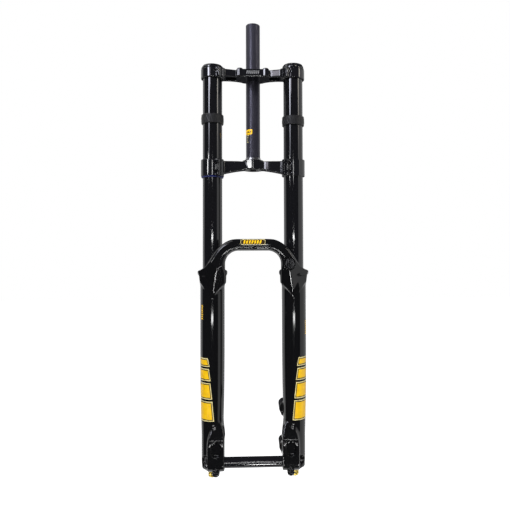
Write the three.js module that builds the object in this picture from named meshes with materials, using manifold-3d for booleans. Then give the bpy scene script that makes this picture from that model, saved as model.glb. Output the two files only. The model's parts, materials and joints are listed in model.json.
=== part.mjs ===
// Dual-crown suspension fork for a downhill mountain bike.
//
// Units are millimetres and +Z is up. The origin is the centre of the steerer where the
// crown race sits on the lower crown. +X is the disc-brake leg, seen on the right from
// the front, and -Y is the front of the bicycle. The fork is modelled fully extended.

import * as THREE from 'three';
import { mergeVertices } from 'three/addons/utils/BufferGeometryUtils.js';
import Module from 'manifold-3d';

const wasm = await Module();
wasm.setup();

// ---------------------------------------------------------------- driving dimensions

const GAP = 0.3;                 // clearance between pieces that touch
const TRAVEL = 180;              // stroke of the lower legs
const END_ROOM = 6.1;            // left between crown and legs at full compression
const LEG_X = 80;                // half the distance between the two legs
const LEG_Y = -30;               // crown offset: the legs stand ahead of the steerer
const AXLE_Y = -50;              // the axle stands ahead of the legs
const AXLE_Z = -586;             // axle to crown race seat
const DROPOUT_X = 55;            // half the 110 mm hub width

const STEERER = { outer: 14.3, inner: 11.6, bottom: -15, top: 279.4 };
const STANCHION = { outer: 19, inner: 17, bottom: -377, top: 176 };
const LOWER_CLAMP = { outer: 22.6, bottom: -36.4, top: -3.7 };
const UPPER_CLAMP = { outer: 22.6, bottom: 157, top: 176 };
const BRIDGE = { bottom: 162, top: 175.2 };
const BUMPER = { outer: 22.2, height: 18, leftBottom: 67.3, rightBottom: 64.5 };
const COLLAR = { outer: 28.8, top: LOWER_CLAMP.bottom - TRAVEL - END_ROOM, height: 6.5 };
const LEG = { outer: 23.6, foot: 21.3, bottom: -601.5, floor: -571, bore: 20.7 };
const ARCH = { front: -71.5, back: -57, top: -159.5, under: -182.3, bevel: 3.6 };
const DROPOUT = { outer: 87.5, radius: 15.6, front: -66, top: -512 };
const AXLE = { outer: 10, inner: 7.2, head: 12, reach: 92 };
const POST = { x: 59.5, upper: -492, spacing: 74.2, face: 10, radius: 9.5 };
const SHAFT = { outer: 5, inner: 2.6 };
const CARTRIDGE = { outer: 13.6, inner: 12.3 };

const SIDES = 24;                // facets round a leg
const SMALL_SIDES = 14;          // facets round a smaller turned piece
const BOLT_SIDES = 8;            // facets round a bolt

// ---------------------------------------------------------------- materials

function material(color, metalness, roughness) {
  return new THREE.MeshStandardMaterial({ color, metalness, roughness });
}

const BLACK_ANODISE = material(0x0b0b0d, 0.6, 0.22);
const BLACK_PAINT = material(0x08080a, 0.1, 0.18);
const SATIN_GREY = material(0x2a2a30, 0.8, 0.4);
const SILVER = material(0xb8babd, 1, 0.3);
const STEEL = material(0x8b8d90, 1, 0.35);
const RUBBER = material(0x17171a, 0, 0.75);
const BLUE_ANODISE = material(0x1d5fa8, 0.9, 0.3);
const GOLD_ANODISE = material(0xd9a514, 0.9, 0.3);
const BRONZE = material(0x8f6b3c, 0.7, 0.5);
const FOAM = material(0x3d3f44, 0, 1);
const PLASTIC = material(0x101012, 0, 0.45);
const BLUE_RUBBER = material(0x14204f, 0, 0.5);

// ---------------------------------------------------------------- solids

// One closed mesh with shared corners, no empty triangles and outward faces.
function closed(geometry) {
  const bare = geometry.clone();
  bare.deleteAttribute('normal');
  bare.deleteAttribute('uv');
  const merged = mergeVertices(bare, 1e-4);
  const kept = [];
  const index = merged.index.array;
  for (let i = 0; i < index.length; i += 3) {
    const corners = [index[i], index[i + 1], index[i + 2]];
    if (new Set(corners).size === 3) kept.push(...corners);
  }
  if (signedVolume(merged.attributes.position, kept) < 0) kept.reverse();
  merged.setIndex(kept);
  return merged;
}

function signedVolume(position, index) {
  const corners = [new THREE.Vector3(), new THREE.Vector3(), new THREE.Vector3()];
  let sum = 0;
  for (let i = 0; i < index.length; i += 3) {
    corners.forEach((corner, k) => corner.fromBufferAttribute(position, index[i + k]));
    sum += corners[0].dot(corners[1].clone().cross(corners[2]));
  }
  return sum / 6;
}

function solid(geometry) {
  const mesh = closed(geometry);
  return new wasm.Manifold(new wasm.Mesh({
    numProp: 3,
    vertProperties: new Float32Array(mesh.attributes.position.array),
    triVerts: new Uint32Array(mesh.index.array),
  }));
}

function geometryOf(manifold) {
  const mesh = manifold.getMesh();
  const geometry = new THREE.BufferGeometry();
  geometry.setAttribute('position', new THREE.BufferAttribute(mesh.vertProperties, 3));
  geometry.setIndex(new THREE.BufferAttribute(mesh.triVerts, 1));
  return geometry;
}

function joined(geometries) {
  return geometries.map(solid).reduce((sum, next) => sum.add(next));
}

function cut(body, geometries) {
  return geometries.map(solid).reduce((rest, next) => rest.subtract(next), body);
}

// A shape turned about the Z axis from a list of [radius, height] pairs.
function turned(profile, sides = SMALL_SIDES) {
  const points = profile.map(([r, z]) => new THREE.Vector2(r, z));
  return new THREE.LatheGeometry(points, sides).rotateX(Math.PI / 2);
}

function rod(radius, bottom, top, sides = SMALL_SIDES) {
  return turned([[0, bottom], [radius, bottom], [radius, top], [0, top]], sides);
}

function ring(inner, outer, bottom, top, sides = SMALL_SIDES) {
  return turned([
    [inner, bottom], [outer, bottom], [outer, top], [inner, top], [inner, bottom],
  ], sides);
}

// Extrusions of a flat shape along each axis; the shape's own axes are named in order.
function plateXY(shape, bottom, top, curveSegments = 6) {
  const depth = top - bottom;
  const geometry = new THREE.ExtrudeGeometry(shape, { depth, bevelEnabled: false, curveSegments });
  return geometry.translate(0, 0, bottom);
}

function plateXZ(shape, front, back, curveSegments = 6) {
  return plateXY(shape, 0, back - front, curveSegments).rotateX(Math.PI / 2).translate(0, back, 0);
}

function plateYZ(shape, left, right, curveSegments = 6) {
  const turn = new THREE.Matrix4().makeBasis(
    new THREE.Vector3(0, 1, 0), new THREE.Vector3(0, 0, 1), new THREE.Vector3(1, 0, 0));
  return plateXY(shape, 0, right - left, curveSegments).applyMatrix4(turn).translate(left, 0, 0);
}

function block(x0, x1, y0, y1, z0, z1) {
  return new THREE.BoxGeometry(x1 - x0, y1 - y0, z1 - z0)
    .translate((x0 + x1) / 2, (y0 + y1) / 2, (z0 + z1) / 2);
}

function polygon(points) {
  return new THREE.Shape(points.map(([a, b]) => new THREE.Vector2(a, b)));
}

// An upright oval: two half circles of one radius joined by straight sides.
function oval(x, y, radius, halfStraight) {
  const shape = new THREE.Shape();
  shape.absarc(x, y + halfStraight, radius, 0, Math.PI);
  shape.absarc(x, y - halfStraight, radius, Math.PI, 2 * Math.PI);
  return shape;
}

// Turns a shape on the Z axis to point another way and puts its origin at a point.
function aimed(geometry, direction, origin) {
  const up = new THREE.Vector3(0, 0, 1);
  const turn = new THREE.Quaternion().setFromUnitVectors(up, direction.clone().normalize());
  return geometry.applyQuaternion(turn).translate(origin.x, origin.y, origin.z);
}

function vector(x, y, z) {
  return new THREE.Vector3(x, y, z);
}

function atLeg(geometry, side) {
  return geometry.translate(side * LEG_X, LEG_Y, 0);
}

// A socket-head bolt: the head's seat is at height 0 and the shank runs down from it.
function bolt({ head, headHeight, shank, length, socket }) {
  const body = solid(turned([
    [0, -length], [shank, -length], [shank, 0], [head, 0],
    [head, headHeight - 0.6], [head - 0.6, headHeight], [0, headHeight],
  ], BOLT_SIDES));
  const key = rod(socket, headHeight * 0.35, headHeight + 1, 6);
  return geometryOf(cut(body, [key]));
}

// The hole that a bolt of the same measures goes into, open past its head.
function boltHole({ head, shank, length }, opening = 20) {
  return turned([
    [0, -length - 1], [shank + GAP, -length - 1], [shank + GAP, -GAP], [head + GAP, -GAP],
    [head + GAP, opening], [0, opening],
  ], BOLT_SIDES);
}

// ---------------------------------------------------------------- the scene graph

const fork = new THREE.Group();

function body(name) {
  const group = new THREE.Group();
  group.name = name;
  fork.add(group);
  return group;
}

const chassis = body('chassis');
const lowers = body('lowers');
const lowSpeedAdjuster = body('low_speed_adjuster');
const highSpeedAdjuster = body('high_speed_adjuster');
const reboundAdjuster = body('rebound_adjuster');
const gasPiston = body('gas_piston');
const axleBody = body('axle_body');

function add(group, name, geometry, look) {
  const mesh = new THREE.Mesh(closed(geometry), look);
  mesh.name = name;
  group.add(mesh);
  return mesh;
}

const LEGS = [['left', -1], ['right', 1]];

// ---------------------------------------------------------------- steerer and crown race

add(chassis, 'steerer_tube', turned([
  [STEERER.inner, STEERER.bottom], [STEERER.outer, STEERER.bottom],
  [STEERER.outer, STEERER.top - 0.8], [STEERER.outer - 0.8, STEERER.top],
  [STEERER.inner, STEERER.top], [STEERER.inner, STEERER.bottom],
], SIDES), SATIN_GREY);

const RACE_BORE = STEERER.outer + GAP;
const RACE = { flange: 17, shoulder: 1.8, top: 5.6 };
add(chassis, 'crown_race', turned([
  [RACE_BORE, GAP], [RACE.flange, GAP], [RACE.flange, RACE.shoulder], [15.4, RACE.shoulder],
  [15.1, RACE.top], [RACE_BORE, RACE.top], [RACE_BORE, GAP],
], SIDES), SILVER);

// ---------------------------------------------------------------- pinch ears

// Each clamp is split on its inner front corner. A pinch ear stands there, and its bolts
// run across the split with their heads to the front.
function pinch(side, angle, reach) {
  const across = vector(side * -Math.cos(angle), -Math.sin(angle), 0);
  const along = vector(side * Math.sin(angle), -Math.cos(angle), 0);
  const centre = vector(side * LEG_X, LEG_Y, 0);
  return { side, angle, reach, across, along, centre };
}

// A box laid out from the clamp's centre: outwards by in..out, sideways by -half..half.
function earBlock({ side, angle, centre }, inner, outer, half, bottom, top) {
  const turn = side > 0 ? Math.PI + angle : -angle;
  return block(inner, outer, -half, half, bottom, top).rotateZ(turn).translate(centre.x, centre.y, 0);
}

function pinchBoltSeat({ across, along, centre, reach }, out, z) {
  return centre.clone().addScaledVector(across, out).addScaledVector(along, reach).setZ(z);
}

// ---------------------------------------------------------------- lower crown

const LOWER_BOLT = { head: 3.5, headHeight: 4, shank: 2.2, length: 11, socket: 2 };
const LOWER_BOLT_OUT = 22.9;
const LOWER_BOLT_HEIGHTS = [-11.5, -28.5];
const lowerPinches = LEGS.map(([, side]) => pinch(side, THREE.MathUtils.degToRad(48), 4));

function lowerCrownPlan() {
  const plan = new THREE.Shape();
  plan.moveTo(-72, -30);
  plan.quadraticCurveTo(-60, -21, -48, -21);
  plan.quadraticCurveTo(-34, -21, -22, -17);
  plan.lineTo(22, -17);
  plan.quadraticCurveTo(34, -21, 48, -21);
  plan.quadraticCurveTo(60, -21, 72, -30);
  plan.lineTo(72, -9);
  plan.quadraticCurveTo(44, -7, 17, 8);
  plan.lineTo(-17, 8);
  plan.quadraticCurveTo(-44, -7, -72, -9);
  return plan;
}

function lowerCrownFace() {
  const face = new THREE.Shape();
  face.moveTo(-72, -3);
  face.lineTo(72, -3);
  face.lineTo(72, -33);
  face.quadraticCurveTo(42, -24, 12, -19);
  face.lineTo(-12, -19);
  face.quadraticCurveTo(-42, -24, -72, -33);
  return face;
}

function lowerCrown() {
  const bridge = solid(plateXY(lowerCrownPlan(), -40, 0)).intersect(
    solid(plateXZ(lowerCrownFace(), -70, 40)));
  const boss = turned([
    [0, -19.8], [20.9, -19.8], [21.6, -18.9], [21.6, -0.8], [20.8, 0], [0, 0],
  ], SIDES);
  const { outer, bottom, top } = LOWER_CLAMP;
  let crown = bridge.add(solid(boss));
  LEGS.forEach(([, side], i) => {
    const clamp = atLeg(turned([
      [0, bottom], [outer - 0.8, bottom], [outer, bottom + 0.8], [outer, top - 0.8],
      [outer - 0.8, top], [0, top],
    ], SIDES), side);
    const ear = earBlock(lowerPinches[i], 15, 27, 7.5, bottom + 0.4, top - 0.4);
    crown = crown.add(solid(clamp)).add(solid(ear));
  });
  const cuts = [
    rod(STEERER.outer + GAP, -30, 10, SIDES),
    turned([[0, -20.4], [18, -20.4], [13.4, -15.1], [0, -15.1]], SIDES),
  ];
  LEGS.forEach(([, side], i) => {
    cuts.push(atLeg(rod(STANCHION.outer + GAP, -50, 10, SIDES), side));
    cuts.push(earBlock(lowerPinches[i], 16, 35, 0.9, -50, 10));
    LOWER_BOLT_HEIGHTS.forEach((z) => {
      const seat = pinchBoltSeat(lowerPinches[i], LOWER_BOLT_OUT, z);
      cuts.push(aimed(boltHole(LOWER_BOLT), lowerPinches[i].along, seat));
    });
  });
  return geometryOf(cut(crown, cuts));
}

add(chassis, 'lower_crown', lowerCrown(), BLACK_ANODISE);
LEGS.forEach(([legName], i) => {
  ['upper', 'lower'].forEach((level, k) => {
    const seat = pinchBoltSeat(lowerPinches[i], LOWER_BOLT_OUT, LOWER_BOLT_HEIGHTS[k]);
    const shape = aimed(bolt(LOWER_BOLT), lowerPinches[i].along, seat);
    add(chassis, `lower_crown_bolt_${legName}_${level}`, shape, STEEL);
  });
});

// ---------------------------------------------------------------- upper crown

const UPPER_BOLT = { head: 4.3, headHeight: 4.4, shank: 2.4, length: 12, socket: 2.6 };
const UPPER_BOLT_OUT = 23.4;
const UPPER_BOLT_Z = 168.2;
const STEERER_BOLT = { head: 4.2, headHeight: 4.4, shank: 2.5, length: 20, socket: 2.6 };
const STEERER_BOLT_SEAT = vector(8.5, 22.5, 167.5);
const STEM_HOLE_X = 25.4;                    // stem bolts stand on a 50.8 by 25.4 mm pattern
const STEM_HOLE_YS = [-39.5, -14.1];
const upperPinches = LEGS.map(([, side]) => pinch(side, THREE.MathUtils.degToRad(45), 4.8));

function upperCrownPlan() {
  const plan = new THREE.Shape();
  plan.moveTo(-70, -46);
  plan.quadraticCurveTo(-50, -42, -33.5, -36.5);
  plan.lineTo(-31.5, -43.5);
  plan.lineTo(31.5, -43.5);
  plan.lineTo(33.5, -36.5);
  plan.quadraticCurveTo(50, -42, 70, -46);
  plan.lineTo(74, -8);
  plan.quadraticCurveTo(44, -8, 18, 2);
  plan.lineTo(-18, 2);
  plan.quadraticCurveTo(-44, -8, -74, -8);
  return plan;
}

function lighteningPocket(side) {
  const inner = side * 33;
  const outer = side * 54;
  return polygon([[inner, -32], [outer, -36], [outer, -14], [inner, -10]]);
}

function upperCrown() {
  const { outer, bottom, top } = UPPER_CLAMP;
  const bosses = [-1, 1].flatMap((side) => STEM_HOLE_YS.map((y) =>
    rod(5.4, BRIDGE.bottom, BRIDGE.top + 1.8, SMALL_SIDES).translate(side * STEM_HOLE_X, y, 0)));
  let crown = joined([
    plateXY(upperCrownPlan(), BRIDGE.bottom, BRIDGE.top),
    rod(19, BRIDGE.bottom + 0.4, BRIDGE.top, SIDES),
    block(-13, 13, 8, 28.5, BRIDGE.bottom + 1.5, BRIDGE.top - 1),
    ...bosses,
  ]);
  LEGS.forEach(([, side], i) => {
    const clamp = atLeg(turned([
      [0, bottom], [outer - 0.8, bottom], [outer, bottom + 0.8], [outer, top - 0.8],
      [outer - 0.8, top], [0, top],
    ], SIDES), side);
    const ear = earBlock(upperPinches[i], 15, 28.6, 8.4, bottom + 4, top - 1.5);
    crown = crown.add(solid(clamp)).add(solid(ear));
  });
  const cuts = [
    rod(STEERER.outer + GAP, 150, 190, SIDES),
    block(-1, 1, 13, 35, 150, 190),
    aimed(boltHole(STEERER_BOLT), vector(1, 0, 0), STEERER_BOLT_SEAT),
  ];
  [-1, 1].forEach((side) => {
    cuts.push(plateXY(lighteningPocket(side), BRIDGE.bottom - 2, BRIDGE.top - 4.5));
    STEM_HOLE_YS.forEach((y) => {
      cuts.push(rod(2.6, BRIDGE.bottom - 5, BRIDGE.top + 5, BOLT_SIDES).translate(side * STEM_HOLE_X, y, 0));
    });
  });
  LEGS.forEach(([, side], i) => {
    cuts.push(atLeg(rod(STANCHION.outer + GAP, 150, 190, SIDES), side));
    cuts.push(earBlock(upperPinches[i], 16, 36, 0.9, 150, 190));
    const seat = pinchBoltSeat(upperPinches[i], UPPER_BOLT_OUT, UPPER_BOLT_Z);
    cuts.push(aimed(boltHole(UPPER_BOLT), upperPinches[i].along, seat));
  });
  return geometryOf(cut(crown, cuts));
}

add(chassis, 'upper_crown', upperCrown(), BLACK_ANODISE);
LEGS.forEach(([legName], i) => {
  const seat = pinchBoltSeat(upperPinches[i], UPPER_BOLT_OUT, UPPER_BOLT_Z);
  add(chassis, `upper_crown_bolt_${legName}`, aimed(bolt(UPPER_BOLT), upperPinches[i].along, seat), SILVER);
});
add(chassis, 'steerer_pinch_bolt', aimed(bolt(STEERER_BOLT), vector(1, 0, 0), STEERER_BOLT_SEAT), STEEL);

// ---------------------------------------------------------------- stanchions and what is on them

LEGS.forEach(([legName, side]) => {
  add(chassis, `stanchion_${legName}`, atLeg(turned([
    [STANCHION.inner, STANCHION.bottom], [STANCHION.outer - 1, STANCHION.bottom],
    [STANCHION.outer, STANCHION.bottom + 1.5], [STANCHION.outer, STANCHION.top],
    [STANCHION.inner, STANCHION.top], [STANCHION.inner, STANCHION.bottom],
  ], SIDES), side), BLACK_ANODISE);
});

function frameBumper(bottom) {
  const inner = STANCHION.outer + GAP;
  const { outer, height } = BUMPER;
  return turned([
    [inner, bottom], [outer - 0.9, bottom], [outer, bottom + 1.1],
    [outer, bottom + height - 1.1], [outer - 0.9, bottom + height], [inner, bottom + height],
    [inner, bottom],
  ], SIDES);
}

add(chassis, 'frame_bumper_left', atLeg(frameBumper(BUMPER.leftBottom), -1), RUBBER);
add(chassis, 'frame_bumper_right', atLeg(frameBumper(BUMPER.rightBottom), 1), RUBBER);

// The travel ring is pushed up against the lower crown.
const RING_TOP = LOWER_CLAMP.bottom - GAP;
add(chassis, 'travel_ring', atLeg(turned([
  [STANCHION.outer + GAP, RING_TOP - 2.6], [21.2, RING_TOP - 2.6], [21.9, RING_TOP - 1.3],
  [21.2, RING_TOP], [STANCHION.outer + GAP, RING_TOP], [STANCHION.outer + GAP, RING_TOP - 2.6],
], SIDES), -1), BLUE_RUBBER);

// ---------------------------------------------------------------- top caps

const CAP_PLUG = STANCHION.inner - GAP;
const CAP_SEAT = STANCHION.top + GAP;
const AIR_CAP_TOP = 183.3;
const DAMPER_CAP_TOP = 186.2;

function topCap(bore, plugBottom, top) {
  return turned([
    [bore, plugBottom], [CAP_PLUG, plugBottom], [CAP_PLUG, CAP_SEAT], [22, CAP_SEAT],
    [22, CAP_SEAT + 1.8], [18.4, top - 1.2], [17, top], [bore, top], [bore, plugBottom],
  ], SIDES);
}

add(chassis, 'air_top_cap', atLeg(topCap(4.3, 158, AIR_CAP_TOP), -1), BLACK_ANODISE);
add(chassis, 'air_valve', atLeg(turned([
  [1.2, 155], [4, 155], [4, AIR_CAP_TOP + 1], [1.2, AIR_CAP_TOP + 1], [1.2, 155],
], SMALL_SIDES), -1), SILVER);
add(chassis, 'air_valve_cap', atLeg(turned([
  [4.3, AIR_CAP_TOP + GAP], [8.6, AIR_CAP_TOP + GAP], [8.6, AIR_CAP_TOP + 2],
  [7.8, AIR_CAP_TOP + 2.8], [0, AIR_CAP_TOP + 2.8], [0, AIR_CAP_TOP + 1.3],
  [4.3, AIR_CAP_TOP + 1.3], [4.3, AIR_CAP_TOP + GAP],
], SMALL_SIDES), -1), GOLD_ANODISE);
add(chassis, 'damper_top_cap', atLeg(topCap(3.6, 150, DAMPER_CAP_TOP), 1), BLACK_ANODISE);

// ---------------------------------------------------------------- air spring, left leg

const SEAL_HEAD_TOP = STANCHION.bottom + 22;
const PISTON_SEAT = SEAL_HEAD_TOP + 9.4;

function sealHead() {
  const low = STANCHION.bottom + GAP;
  return turned([
    [SHAFT.outer + GAP, low], [CAP_PLUG, low], [CAP_PLUG, SEAL_HEAD_TOP],
    [SHAFT.outer + GAP, SEAL_HEAD_TOP], [SHAFT.outer + GAP, low],
  ]);
}

add(chassis, 'air_seal_head', atLeg(sealHead(), -1), SILVER);
add(chassis, 'top_out_bumper', atLeg(turned([
  [SHAFT.outer + GAP, SEAL_HEAD_TOP + GAP], [9, SEAL_HEAD_TOP + GAP], [10.5, SEAL_HEAD_TOP + 4.5],
  [9, PISTON_SEAT - GAP], [SHAFT.outer + GAP, PISTON_SEAT - GAP],
  [SHAFT.outer + GAP, SEAL_HEAD_TOP + GAP],
]), -1), RUBBER);
add(lowers, 'air_piston', atLeg(turned([
  [SHAFT.outer + GAP, PISTON_SEAT], [16.6, PISTON_SEAT], [16.6, PISTON_SEAT + 5],
  [14.2, PISTON_SEAT + 5], [14.2, PISTON_SEAT + 9], [16.6, PISTON_SEAT + 9],
  [16.6, PISTON_SEAT + 15], [SHAFT.outer + GAP, PISTON_SEAT + 15],
  [SHAFT.outer + GAP, PISTON_SEAT],
]), -1), PLASTIC);
add(lowers, 'air_piston_seal', atLeg(
  ring(14.2 + GAP, 16.75, PISTON_SEAT + 5 + GAP, PISTON_SEAT + 9 - GAP), -1), RUBBER);

// ---------------------------------------------------------------- damper, right leg

const VALVE_BOTTOM = 0;
const GAS_PISTON_Z = 40;
const LOW_DIAL_TOP = DAMPER_CAP_TOP + 2.3;
const NEEDLE_TOP = LOW_DIAL_TOP;

add(chassis, 'damper_tube', atLeg(
  ring(CARTRIDGE.inner, CARTRIDGE.outer, SEAL_HEAD_TOP + GAP, 150 - GAP), 1), SILVER);
add(chassis, 'damper_seal_head', atLeg(sealHead(), 1), SILVER);
add(chassis, 'compression_valve', atLeg(turned([
  [3.6, VALVE_BOTTOM], [12, VALVE_BOTTOM], [12, VALVE_BOTTOM + 8], [9, VALVE_BOTTOM + 9],
  [9, VALVE_BOTTOM + 18], [3.6, VALVE_BOTTOM + 18], [3.6, VALVE_BOTTOM],
]), 1), BRONZE);
add(chassis, 'compression_needle', atLeg(turned([
  [0, VALVE_BOTTOM - 4], [2.8, VALVE_BOTTOM + 4], [2.8, NEEDLE_TOP], [0, NEEDLE_TOP],
], BOLT_SIDES), 1), STEEL);
add(gasPiston, 'floating_piston', atLeg(turned([
  [2.8 + GAP, GAS_PISTON_Z], [12, GAS_PISTON_Z], [12, GAS_PISTON_Z + 12],
  [8, GAS_PISTON_Z + 12], [8, GAS_PISTON_Z + 4], [2.8 + GAP, GAS_PISTON_Z + 4],
  [2.8 + GAP, GAS_PISTON_Z],
]), 1), PLASTIC);
add(lowers, 'damper_piston', atLeg(turned([
  [SHAFT.outer + GAP, PISTON_SEAT], [12, PISTON_SEAT], [12, PISTON_SEAT + 12],
  [SHAFT.outer + GAP, PISTON_SEAT + 12], [SHAFT.outer + GAP, PISTON_SEAT],
]), 1), BRONZE);

// ---------------------------------------------------------------- shafts and feet

const SHAFT_TOP = PISTON_SEAT + 18;
const FOOT_SEAT = LEG.bottom - GAP;
const FOOT_HEAD = 3.2;

LEGS.forEach(([, side], i) => {
  const unit = ['air', 'damper'][i];
  const { outer, inner } = SHAFT;
  const low = LEG.floor + GAP;
  add(lowers, `${unit}_shaft`, atLeg(turned([
    [inner, low], [outer, low], [outer, SHAFT_TOP], [0, SHAFT_TOP], [0, SHAFT_TOP - 6],
    [inner, SHAFT_TOP - 8], [inner, low],
  ]), side), STEEL);
  add(lowers, `bottom_out_bumper_${unit}`, atLeg(turned([
    [outer + GAP, low], [12, low], [12, low + 5], [9, low + 11], [outer + GAP, low + 11],
    [outer + GAP, low],
  ]), side), RUBBER);
  const footBolt = turned([
    [1.2, FOOT_SEAT - FOOT_HEAD], [7.2, FOOT_SEAT - FOOT_HEAD], [7.2, FOOT_SEAT],
    [2.3, FOOT_SEAT], [2.3, low + 14], [1.2, low + 14], [1.2, FOOT_SEAT - FOOT_HEAD],
  ], BOLT_SIDES);
  add(lowers, `${unit}_foot_bolt`, atLeg(footBolt, side), STEEL);
});

function footKnob(top) {
  return turned([
    [0, top - 14.6], [6.4, top - 14.6], [7.9, top - 13], [7.9, top - 5], [8.4, top - 4],
    [8.4, top], [0, top],
  ]);
}

const KNOB_TOP = FOOT_SEAT - FOOT_HEAD - GAP;
add(lowers, 'ramp_valve_cap', atLeg(footKnob(KNOB_TOP), -1), GOLD_ANODISE);
add(reboundAdjuster, 'rebound_knob', atLeg(footKnob(KNOB_TOP), 1), GOLD_ANODISE);

// ---------------------------------------------------------------- compression adjusters

// The wide dial lies on the damper's cap and the small one stands over it. The needle
// comes up through the wide dial to carry the small one.
const DIAL_SEAT = DAMPER_CAP_TOP + GAP;
add(lowSpeedAdjuster, 'low_speed_knob', atLeg(turned([
  [3.2, DIAL_SEAT], [13, DIAL_SEAT], [13, LOW_DIAL_TOP - 0.8], [12.2, LOW_DIAL_TOP],
  [3.2, LOW_DIAL_TOP], [3.2, DIAL_SEAT],
]), 1), BLUE_ANODISE);
add(highSpeedAdjuster, 'high_speed_knob', atLeg(turned([
  [0, LOW_DIAL_TOP + GAP], [6.3, LOW_DIAL_TOP + GAP], [6.3, LOW_DIAL_TOP + 1.3],
  [5.7, LOW_DIAL_TOP + 1.9], [0, LOW_DIAL_TOP + 1.9],
]), 1), BLUE_ANODISE);

// ---------------------------------------------------------------- lower casting

const AXLE_PINCH_BOLT = { head: 4.4, headHeight: 4.4, shank: 2.5, length: 16, socket: 2.7 };
const AXLE_PINCH = { x: 70.7, z: -600, front: -66, back: -42.5, radius: 7.1 };
const GUIDE = { x: 70, z: -207, radius: 9.5, halfStraight: 2, depth: 4 };
const OPENING = { half: 53.4, radius: 25.4, bevelDepth: 7 };
const ARCH_STEPS = 7;
const GUIDE_BOLT = { head: 3.2, headHeight: 2.2, shank: 1.8, length: 7, socket: 1.7 };

// Half of the arch's outer edge, from its middle to the tip of the ear beside the leg.
function archOuterEdge(path, side) {
  const top = ARCH.top;
  path.lineTo(side * 28, top);
  path.bezierCurveTo(side * 51, top, side * 66, top - 14, side * 77.5, top - 32);
  path.lineTo(side * 87.4, top - 48.7);
  path.quadraticCurveTo(side * 91, top - 54.5, side * 97, top - 57);
  path.lineTo(side * 106, top - 62.3);
}

// The arch's outline, from one skirt to the other, before the wheel opening is cut.
function archPlate() {
  const half = new THREE.Path();
  half.moveTo(0, ARCH.top);
  archOuterEdge(half, 1);
  const skirt = [[104, -231], [102.5, -243], [95, -255], [84, -260], [56, -249]];
  skirt.forEach(([x, z]) => half.lineTo(x, z));
  const right = half.getPoints(ARCH_STEPS).map(({ x, y }) => [x, y]);
  const left = right.map(([x, z]) => [-x, z]).reverse();
  return polygon([...right, ...left.slice(0, -1)]);
}

// The wheel opening. Its front edge is bevelled, so it is wider at the front face.
function archOpening() {
  const { half, radius } = OPENING;
  const shape = new THREE.Shape();
  shape.moveTo(half, -300);
  shape.lineTo(half, ARCH.under - radius);
  shape.absarc(half - radius, ARCH.under - radius, radius, 0, Math.PI / 2);
  shape.lineTo(radius - half, ARCH.under);
  shape.absarc(radius - half, ARCH.under - radius, radius, Math.PI / 2, Math.PI);
  shape.lineTo(-half, -300);
  const front = new THREE.ExtrudeGeometry(shape, {
    depth: 20, curveSegments: ARCH_STEPS,
    bevelThickness: OPENING.bevelDepth, bevelSize: ARCH.bevel, bevelSegments: 1,
  });
  return [
    front.rotateX(Math.PI / 2).translate(0, ARCH.front, 0),
    plateXZ(shape, -80, -20, ARCH_STEPS),
  ];
}

// The arch seen from the side: a flat bar that falls back onto the front of the legs.
const archSide = polygon([
  [ARCH.back, ARCH.top], [ARCH.front + 2, ARCH.top], [ARCH.front, ARCH.top - 2],
  [ARCH.front, -212], [-60, -250], [-50, -262], [LEG_Y - 4, -262],
  [LEG_Y - 4, COLLAR.top + 2.5], [ARCH.back, COLLAR.top + 2.5],
]);

// A pocket in the arch's back face, between two ribs.
function archPocket(side, start, end) {
  const outer = new THREE.Path();
  outer.moveTo(0, ARCH.top);
  archOuterEdge(outer, side);
  const middle = (fraction, inward) => {
    const point = outer.getPointAt(fraction);
    const tangent = outer.getTangentAt(fraction);
    const normal = new THREE.Vector2(tangent.y, -tangent.x).multiplyScalar(side);
    return point.addScaledVector(normal, inward);
  };
  const steps = [0, 1, 2, 3, 4].map((k) => start + (end - start) * k / 4);
  const far = steps.map((fraction) => middle(fraction, 4.2));
  const near = steps.reverse().map((fraction) => middle(fraction, 14));
  return new THREE.Shape([...far, ...near]);
}

function legOuter(side) {
  const { outer, foot, bottom } = LEG;
  return atLeg(turned([
    [0, bottom], [16.4, bottom], [foot - 0.6, bottom + 8.5], [foot, bottom + 18],
    [foot, -540], [outer - 0.4, -440], [outer, -378], [outer, -252], [24.8, -243],
    [25.8, -233], [COLLAR.outer, COLLAR.top - COLLAR.height], [COLLAR.outer, COLLAR.top - 1],
    [COLLAR.outer - 1, COLLAR.top], [0, COLLAR.top],
  ], SIDES), side);
}

function legBore(side) {
  const { bore, floor } = LEG;
  return atLeg(turned([
    [0, floor], [bore, floor], [bore, COLLAR.top - 18], [22.3, COLLAR.top - 18],
    [22.3, COLLAR.top - 12], [24.3, COLLAR.top - 12], [24.3, COLLAR.top + 5], [0, COLLAR.top + 5],
  ], SIDES), side);
}

function dropoutSide() {
  const shape = new THREE.Shape();
  const { radius, front, top } = DROPOUT;
  shape.moveTo(LEG_Y, LEG.bottom + 1);
  shape.lineTo(AXLE_Y + 11, LEG.bottom + 1);
  shape.absarc(AXLE_Y, AXLE_Z, radius, -0.8, -Math.PI, true);
  shape.lineTo(front, -562);
  shape.quadraticCurveTo(front, -545, -58, -530);
  shape.quadraticCurveTo(-52, top - 8, -48, top);
  shape.lineTo(LEG_Y, top);
  return shape;
}

function dropoutFace(side) {
  const shape = new THREE.Shape();
  const outer = side * DROPOUT.outer;
  const inner = side * DROPOUT_X;
  shape.moveTo(inner, -605);
  shape.lineTo(outer, -605);
  shape.lineTo(outer, -560);
  shape.quadraticCurveTo(outer, -538, side * 82, -526);
  shape.lineTo(side * 76, DROPOUT.top);
  shape.lineTo(side * 62, DROPOUT.top);
  shape.quadraticCurveTo(inner, -526, inner, -545);
  return shape;
}

function dropout(side) {
  const [low, high] = side > 0 ? [50, 95] : [-95, -50];
  return solid(plateYZ(dropoutSide(), low, high)).intersect(
    solid(plateXZ(dropoutFace(side), -80, -20)));
}

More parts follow.
